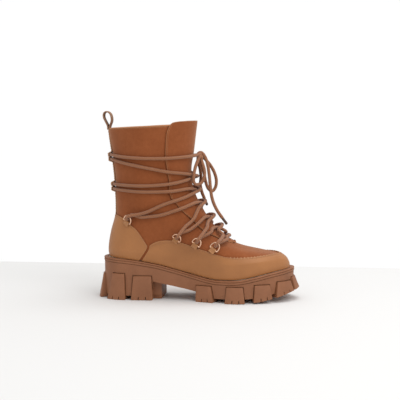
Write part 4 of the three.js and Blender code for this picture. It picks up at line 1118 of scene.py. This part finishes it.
def lug_mesh(low, high, top, reach, slits, bevel=0.0009):
    """One lug between angles low (at the ground) and high (at its top)."""
    span = abs(high[1] - high[0]) + abs(low[1] - low[0])
    us = list(np.linspace(0, 1, max(5, int(span / 4))))
    middle_x = mix(SOLE_BACK, SOLE_FRONT, (1 + math.cos(math.radians(sum(low) / 2))) / 2)
    width = float(np.linalg.norm(outline(low[1], 0.0) - outline(low[0], 0.0)))
    notch = SLIT_WIDTH / width / 2
    if slits:
        us = sorted([u for u in us if all(abs(u - s) > 2 * notch for s in SLIT_SHARES)]
                    + [s + side * notch for s in SLIT_SHARES for side in (-1, 1)])
    sill = SLIT_HEIGHT / (top - float(tread_z(middle_x)))
    vs = [0.0, sill, mix(sill, 1, 0.5), 1.0]

    def point(u, v, w):
        angle = mix(mix(low[0], low[1], u), mix(high[0], high[1], u), v)
        top_share = mix(0.45, 0.15, np.abs(np.cos(np.radians(angle))) ** 6)
        out = mix(-reach, lug_flare(angle) * mix(1, top_share, v), w)
        p = outline(angle, out)
        return np.stack([p[:, 0], p[:, 1], mix(tread_z(p[:, 0]), top, v)], axis=-1)

    def keep(u, v):
        return not (slits and v < sill and any(abs(u - s) < notch for s in SLIT_SHARES))

    def rim(u, v, w):
        return v > 0.999 or u < 0.001 or u > 0.999
    return cells_mesh(us, vs, point, keep, bevel=bevel, rim=rim, segments=2)


class BOOT_OT_sole(bpy.types.Operator):
    """Makes the lug outsole, the ribbed welt and the footbed"""

    bl_idname = "boot.sole"
    bl_label = "Sole"

    def execute(self, context):
        outsole = crisp(finished("lug_outsole", self.outsole(), LOOKS["rubber"]))
        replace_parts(outsole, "outsole")
        welt = finished("ribbed_welt", self.welt(), LOOKS["rubber"])
        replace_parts(crisp(welt, 50), "welt")
        footbed = finished("shaped_footbed", self.footbed(), LOOKS["footbed"])
        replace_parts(footbed, "footbed")
        return {"FINISHED"}

    def outsole(self):
        walls = [x + step for x in (SIDE_BREAST, BREAST, ARCH_FRONT) for step in (0.0, 0.02)]
        angles = sorted(list(np.linspace(0, 180, 80)) + [float(sole_angle(x)) for x in walls], reverse=True)
        sides = [0.5 + side * (SIDE_SHARE + step) for side in (-1, 1) for step in (-0.002, 0.002)]

        def base(a, b, c):
            wall = mix(-1.2, -0.7, c)
            near, far = outline(-a, wall), outline(a, wall)
            x, y = mix(near[:, 0], far[:, 0], b), mix(near[:, 1], far[:, 1], b)
            along = mix(SOLE_BACK, SOLE_FRONT, (1 + np.cos(np.radians(a))) / 2)
            return np.stack([x, y, mix(sole_floor(along, b), outsole_top(x), c)], axis=-1)

        slab = cells_mesh(angles, sorted(list(np.linspace(0, 1, 9)) + sides), base)
        wider = np.array([-GROOVE, GROOVE])
        parts = []
        pockets = []
        for side in (-1, 1):
            for low, high, top in SIDE_LUGS:
                parts.append(lug_mesh(side * sole_angle(low), side * sole_angle(high), top, LUG_REACH, True))
                pockets.append(lug_mesh(side * sole_angle(low + wider), side * sole_angle(high + wider),
                                        top + GROOVE, GROOVE_DEPTH, False, bevel=0.0))
        for middle, half, top_half, top in END_LUGS:
            low, high = middle + np.array([-half, half]), middle + np.array([-top_half, top_half])
            parts.append(lug_mesh(low, high, top, LUG_REACH, False))
            pockets.append(lug_mesh(low + 1.2 * wider, high + 1.2 * wider, top + GROOVE, GROOVE_DEPTH, False,
                                    bevel=0.0))
        parts.append(cut_out(slab, pockets))
        for x in MIDDLE_BLOCKS:
            def centre_block(u, v, w, x=x):
                y = centre_y(x) + mix(-8.5, 8.5, v)
                along = x + mix(-8, 8, u)
                return np.stack([along, y, mix(tread_z(along), tread_z(x) + 12, w)], axis=-1)
            parts.append(cells_mesh([0, 0.5, 1], [0, 1], centre_block, bevel=0.0008))

        def breast_block(u, v, w):
            return np.stack([mix(BREAST - 14, BREAST, u), mix(-24, 24, v), mix(0, 20, w)], axis=-1)

        def solid_there(u, v):
            return u < GROOVE_START or all(abs(v - g) > GROOVE_HALF for g in BREAST_GROOVES)

        across = sorted([0, 1] + [g + side * GROOVE_HALF for g in BREAST_GROOVES for side in (-1, 1)])
        parts.append(cells_mesh([0, GROOVE_START, 1], across, breast_block, bevel=0.0006, keep=solid_there))
        return joined(parts)

    def welt(self):
        """Two rounded beads with a groove between them, on a shallow foot."""
        section = np.array([
            [0, 0], [0.70, 0], [0.86, 0.02], [0.95, 0.07], [0.985, 0.16], [1, 0.28], [0.99, 0.42], [0.95, 0.52],
            [0.87, 0.575], [0.82, 0.60], [0.87, 0.625], [0.95, 0.66], [1, 0.74], [1.01, 0.82], [0.98, 0.9],
            [0.90, 0.965], [0.76, 1.0], [0, 1.0], [0, 0],
        ])

        def point(t, r):
            i = np.rint(r * (len(section) - 1)).astype(int)
            p = outline(t * 360 - 180, mix(-WELT_WIDTH, 0, section[i, 0]))
            z = welt_top(p[:, 0]) - WELT_HEIGHT * (1 - section[i, 1])
            return np.stack([p[:, 0], p[:, 1], z], axis=-1)
        return close_seam(grid(240, len(section) - 1, point))

    def footbed(self):
        edge = -WELT_WIDTH - LEATHER * 2 - STIFFENER - LINING - 2 * PLY_GAP - LINING_GAP - 4.4
        low = 2.5 * GAP + 2.0 + GAP

        def point(a, b, c):
            near, far = outline(-a, np.full(a.shape, edge)), outline(a, np.full(a.shape, edge))
            x, y = mix(near[:, 0], far[:, 0], b), mix(near[:, 1], far[:, 1], b)
            cup = 1.0 * (2 * b - 1) ** 4 * c
            return np.stack([x, y, welt_top(x) + low + 4.0 * c + cup - 0.4 * c], axis=-1)
        return cells_mesh(list(np.linspace(176, 4, 70)), list(np.linspace(0, 1, 15)), point, bevel=0.0009)


# ---- Upper ----
HEM = 0.04


def mudguard_spot(t, r):
    share = 1 - np.abs(2 * t - 1)
    top = spline(MUDGUARD_TOP, share)
    foot = (1 - share) * (SEAM_FOOT - 1)
    return np.where(t < 0.5, -1, 1) * mix(foot, np.maximum(0, top[:, 0]), r), mix(HEM, top[:, 1], r)


def counter_spot(t, r):
    share = 1 - np.abs(2 * t - 1)
    top = spline(COUNTER_TOP, share)
    foot = mix(SEAM_FOOT + 1, 180, share)
    turn = mix(foot, np.minimum(180, top[:, 0] + 1.2 * (1 - share)), r)
    return np.where(t < 0.5, turn, 360 - turn), mix(HEM, top[:, 1], r)


def flap_spot(t, r):
    at = spline(FLAP_EDGE, r)
    return mix(-at[:, 0], at[:, 0], t), at[:, 1]


STRAP_LOW = float(station_at(180, 119.5)) + 0.06
STRAP_HIGH = COLLAR + 0.05
UNDER_STRAP = (205.1, 198.7, 163.0, 156.2)  # heights of the strands of lace under the strap
HUG_REACH = 5.2
HUG_SLOPE = 3.2


def strap_spot(t, r):
    station = mix(STRAP_LOW, STRAP_HIGH, r)
    reach = np.abs(skin(170, station)[:, 1] - skin(180, station)[:, 1])
    half = 10 * STRAP_HALF / reach
    return 180 + mix(-half, half, t), station


FURROW = 1.1
FURROW_SPREAD = 1.7  # in degrees round the boot


def flap_furrow(angle, station):
    """The suede dips along the flap's edge, where the flap lies open."""
    past = np.abs((angle + 180) % 360 - 180) - flap_angle(station)
    return -FURROW * np.exp(-((past - 0.6) / FURROW_SPREAD) ** 2) * smooth((station - 5.6) / 1.2)


def strap_lift(angle, station):
    """The strap hugs each strand of lace that passes under it."""
    z = skin(180, station)[:, 2]
    lifts = [smooth((HUG_REACH - np.abs(z - middle)) / HUG_SLOPE) for middle in UNDER_STRAP]
    return (2 * LACE_RADIUS + 2 * GAP) * np.maximum.reduce(lifts)


def inset(spot, t, r, way, distance):
    """Angles and stations of a line moved inside a panel's edge. way is (dt, dr), towards the inside."""
    step = 0.01
    edge = skin(*spot(t, r))
    inner = skin(*spot(t + way[0] * step, r + way[1] * step))
    share = step * distance / np.maximum(1e-6, np.linalg.norm(inner - edge, axis=-1))
    return spot(t + way[0] * share, r + way[1] * share)


class BOOT_OT_upper(bpy.types.Operator):
    """Makes the suede upper, the overlays, the tongue flap, the back strap, the collar and the lining"""

    bl_idname = "boot.upper"
    bl_label = "Upper"

    def execute(self, context):
        crease = context.scene.boot_sizes.crease / MM

        def all_round(t, r):
            return t * 360 - 180, mix(HEM, COLLAR, r)

        self.ply("suede_upper", 280, 130, SUEDE_FACE, all_round, "suede", ("shaft", "vamp"), closed=True,
                 relief=crease, seed=1.0, lift=flap_furrow)
        self.ply("leather_mudguard", 320, 24, OVERLAY, mudguard_spot, "leather", ("mudguard",), relief=0.15,
                 seed=3.0)
        self.ply("leather_heel_counter", 170, 24, OVERLAY, counter_spot, "leather", ("heel_counter",),
                 relief=0.15, seed=4.0)
        self.ply("suede_tongue_flap", 90, 170, OVERLAY, flap_spot, "suede", ("tongue_flap",),
                 relief=crease * 0.8, seed=2.0)
        self.ply("suede_back_strap", 10, 220, OVERLAY, strap_spot, "suede", ("back_strap",), lift=strap_lift,
                 edge_look="suede_edge")
        lining = self.ply("knit_lining", 150, 60, INNER, all_round, "lining", ("lining",), closed=True,
                          relief=0.5, seed=6.0, thickness=LINING)
        lining.modifiers["Edges"].segments = 1
        collar = finished("collar_rim", self.collar(), LOOKS["suede"])
        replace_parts(collar, "collar_binding")
        return {"FINISHED"}

    def ply(self, name, across, up, depth, spot, look, nodes, closed=False, lift=None, relief=0.0, seed=1.0,
            thickness=LEATHER, edge_look=None):
        """One ply of the upper, with its cut edge in a second material."""
        def point(t, r):
            angle, station = spot(t, r)
            turn = 180 - np.abs(angle) if closed else angle
            rise = ripple(turn, station, relief, seed) if relief else 0.0
            if lift is not None:
                rise = rise + lift(angle, station)
            return under(angle, station, depth - rise)
        bm = grid(across, up, point)
        if closed:
            bmesh.ops.remove_doubles(bm, verts=bm.verts, dist=2e-6)
        bm.normal_update()
        face_out(bm, boot_middle)
        edge_distance(bm)
        piece = finished(name, bm, LOOKS[look])
        piece.data.materials.append(LOOKS[edge_look or ("lining" if look == "lining" else look + "_edge")])
        thicken(piece, thickness * MM, bpy.context.scene.boot_sizes.edge_round)
        piece.modifiers["Thickness"].material_offset_rim = 1
        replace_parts(piece, *nodes)
        return piece

    def collar(self):
        """The rolled top edge, from the suede over to the lining."""
        def point(t, r):
            turn = r * 2 * np.pi
            deep = mix(SUEDE_FACE - 0.2, INNER + LINING + 0.2, 0.5 - 0.5 * np.cos(turn))
            rise = np.where(np.sin(turn) > 0, (BINDING_RISE + 0.02) * np.abs(np.sin(turn)) ** 0.7,
                            RIM_START * np.sin(turn))
            return under(t * 360 - 180, COLLAR + RIM_START + rise, deep)
        return close_seam(grid(200, 24, point))


# ---- Straps, rings and loop ----
def strap_mesh(points, across, width, thick, fine=20):
    """A strap with rounded edges along points, wide along one direction."""
    points = np.asarray(points, float)
    tangent = np.gradient(points, axis=0)
    tangent /= np.linalg.norm(tangent, axis=1, keepdims=True)
    normal = np.cross(tangent, across)
    normal /= np.linalg.norm(normal, axis=1, keepdims=True)
    last = len(points) - 1

    def point(t, r):
        i = np.rint(t * last).astype(int)
        turn = 2 * np.pi * r
        wide = np.sign(np.cos(turn)) * np.abs(np.cos(turn)) ** 0.35 * width / 2
        deep = np.sign(np.sin(turn)) * np.abs(np.sin(turn)) ** 0.55 * thick / 2
        return points[i] + np.asarray(across) * wide[:, None] + normal[i] * deep[:, None]

    def uv(t, r):
        return np.stack([t * length_along(points)[-1] * MM, r], axis=-1)
    return close_seam(grid(last, fine, point, uv))


LOOP_FOOT = skin(180, COLLAR + RIM_START + BINDING_RISE)
LOOP_AXIS = np.array([LOOP_FOOT[0] + 1.4, float(centre_y(LOOP_FOOT[0])), LOOP_FOOT[2] + 3.3])
LOOP_LINE = np.array([
    [0.6, -5.5], [0.9, -2], [1.9, 2], [2.9, 6], [3.2, 10], [2.7, 14], [1.2, 18], [-1.6, 20.6], [-4.8, 21.2],
    [-7.5, 19.4], [-8.5, 15.8], [-7.9, 11.8], [-6.2, 8], [-4.2, 4.6], [-2.2, 1.4], [-1.4, -2], [-1.3, -5.5],
])


LOOP_LEAN = 0.8
LOOP_RISE = 0.96


class BOOT_OT_hardware(bpy.types.Operator):
    """Makes the D-rings, their leather tabs and the pull loop"""

    bl_idname = "boot.hardware"
    bl_label = "Rings and pull loop"

    def execute(self, context):
        for name, frame_ in RING_FRAMES.items():
            ring = finished(f"wire_ring_{name}", self.ring(frame_), LOOKS["metal"], body=f"d_ring_{name}")
            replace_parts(ring, f"d_ring_{name}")
            tab = finished(f"folded_tab_{name}", self.tab(frame_), LOOKS["leather"])
            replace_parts(tab, f"ring_tab_{name}")
        line = chordal([LOOP_AXIS + [x + LOOP_LEAN * smooth(z / 8), 0, LOOP_RISE * z] for x, z in LOOP_LINE],
                       0.7)
        loop = finished("strap_pull_loop", strap_mesh(line, (0, 1, 0), 2 * STRAP_HALF - 0.6, 2.0, 24),
                        LOOKS["loop"], body=None)
        tuple(metres(LOOP_AXIS - [0, 0, 3.5]))
        tuple(metres(LOOP_AXIS + [0, 0, 2.5]))
        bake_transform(loop)
        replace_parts(loop, "pull_loop")
        return {"FINISHED"}

    def ring(self, f):
        """A D of round wire: a straight bar and an arc."""
        flat = 1.2
        turn = np.linspace(0, 2 * np.pi, 73)
        along = RING["half"] * np.cos(turn)
        high = np.where(turn <= np.pi, flat + (RING["reach"] - flat) * np.abs(np.sin(turn)) ** 0.8,
                        flat * (1 - np.minimum(1, -np.sin(turn) * 2.2)))
        line = f["axis"] + f["bar"] * along[:, None] + f["arc"] * high[:, None]
        ahead = np.roll(line[:-1], -1, axis=0) - np.roll(line[:-1], 1, axis=0)
        ahead = np.vstack([ahead, ahead[:1]])
        ahead /= np.linalg.norm(ahead, axis=1, keepdims=True)
        side = np.cross(ahead, f["face"])
        side /= np.linalg.norm(side, axis=1, keepdims=True)

        def point(t, r):
            i = np.rint(t * 72).astype(int)
            spin = 2 * np.pi * r
            around = side[i] * np.cos(spin)[:, None] + f["face"] * np.sin(spin)[:, None]
            return line[i] + RING["wire"] * around
        return close_seam(grid(72, 12, point))

    def tab(self, f):
        """A strip of leather folded round the ring's bar, its two ends on the boot."""
        low = GAP - RING["lift"]
        fold = RING["wire"] + 0.25 + 0.4
        turn = np.radians(np.linspace(-90, 112, 16))
        path = [(-TAB_TAIL, low + 0.4), (-0.6 * TAB_TAIL, low + 0.4), (-1.5, low + 0.45)]
        path += [(fold * math.cos(a), fold * math.sin(a)) for a in turn]
        path += [(-2.6, low + 2.1), (-0.7 * TAB_TAIL, low + 1.45), (-TAB_TAIL, low + 1.3)]
        spots = [f["axis"] + f["pull"] * x + f["out"] * y for x, y in path]
        across = tuple(np.cross(f["pull"], f["out"]))
        return strap_mesh(chordal(spots, 0.5), across, 2 * RING["half"] - 4.2, 0.8)


class BOOT_OT_stitching(bpy.types.Operator):
    """Sews the edges of the overlays, the flap and the back strap"""

    bl_idname = "boot.stitching"
    bl_label = "Stitching"

    def execute(self, context):
        ends = np.linspace(0.004, 0.996, 700)
        ones = np.ones_like(ends)
        up = np.linspace(0.06, 0.985, 400)
        rows = {
            "mudguard": [(mudguard_spot, ends, ones, (0, -1), inwards) for inwards in (2.2, 4.2)],
            "counter": [(counter_spot, ends, ones, (0, -1), 2.2)],
            "flap": [(flap_spot, 0 * up, up, (1, 0), 2.4), (flap_spot, 0 * up + 1, up, (-1, 0), 2.4)],
            "back_strap": [(strap_spot, 0 * up, up, (1, 0), 1.6), (strap_spot, 0 * up + 1, up, (-1, 0), 1.6)],
        }
        for name, lines in rows.items():
            parts = []
            for spot, t, r, way, distance in lines:
                angle, station = inset(spot, t, r, way, distance)
                lift = strap_lift(angle, station) if name == "back_strap" else 0.0
                parts.append(seam(angle, station, OVERLAY - 0.05 - lift))
            finished(f"stitches_{name}", joined(parts), LOOKS["thread"])
        front = np.linspace(0.30, 0.70, 400)
        angle, station = inset(mudguard_spot, front, np.ones_like(front), (0, -1), 1.0)
        over = seam(angle, station, OVERLAY - 0.05, turned=True, length=3.0)
        finished("stitches_toe_edge", over, LOOKS["pale_thread"])
        return {"FINISHED"}


class BOOT_OT_inner_parts(bpy.types.Operator):
    """Gives the inner parts their finishes"""

    bl_idname = "boot.inner_parts"
    bl_label = "Inner parts"

    def execute(self, context):
        finishes = {"midsole": "foam", "shaft_foam": "foam", "shank": "steel", "insole_board": "board",
                    "toe_puff": "board", "heel_stiffener": "board"}
        for node, look in finishes.items():
            for part_slot in frame["nodes"][node].material_slots:
                part_slot.material = LOOKS[look]
        return {"FINISHED"}


class BOOT_PT_panel(bpy.types.Panel):
    """Lists the boot's pieces in the order they are made"""

    bl_label = "Lace-up Boot"
    bl_space_type = "VIEW_3D"
    bl_region_type = "UI"
    bl_category = "Boot"

    def draw(self, context):
        for group in (context.scene.boot_sizes, context.scene.boot_colours):
            for key in group.__annotations__:
                self.layout.prop(group, key)
        for operator in OPERATORS:
            self.layout.operator(operator.bl_idname)


OPERATORS = (BOOT_OT_stage, BOOT_OT_cords, BOOT_OT_lace, BOOT_OT_sole, BOOT_OT_upper, BOOT_OT_hardware,
             BOOT_OT_stitching, BOOT_OT_inner_parts)
CLASSES = (BootSizes, BootColours, BOOT_PT_panel) + OPERATORS


def register():
    for cls in CLASSES:
        bpy.utils.register_class(cls)
    bpy.types.Scene.boot_sizes = bpy.props.PointerProperty(type=BootSizes)
    bpy.types.Scene.boot_colours = bpy.props.PointerProperty(type=BootColours)


def unregister():
    del bpy.types.Scene.boot_colours
    del bpy.types.Scene.boot_sizes
    for cls in reversed(CLASSES):
        bpy.utils.unregister_class(cls)


def main():
    register()
    make_looks()
    bpy.ops.boot.stage()
    bpy.ops.boot.cords()
    bpy.ops.boot.lace()
    bpy.ops.boot.sole()
    bpy.ops.boot.upper()
    bpy.ops.boot.hardware()
    bpy.ops.boot.stitching()
    bpy.ops.boot.inner_parts()


if __name__ == "__main__":
    main()
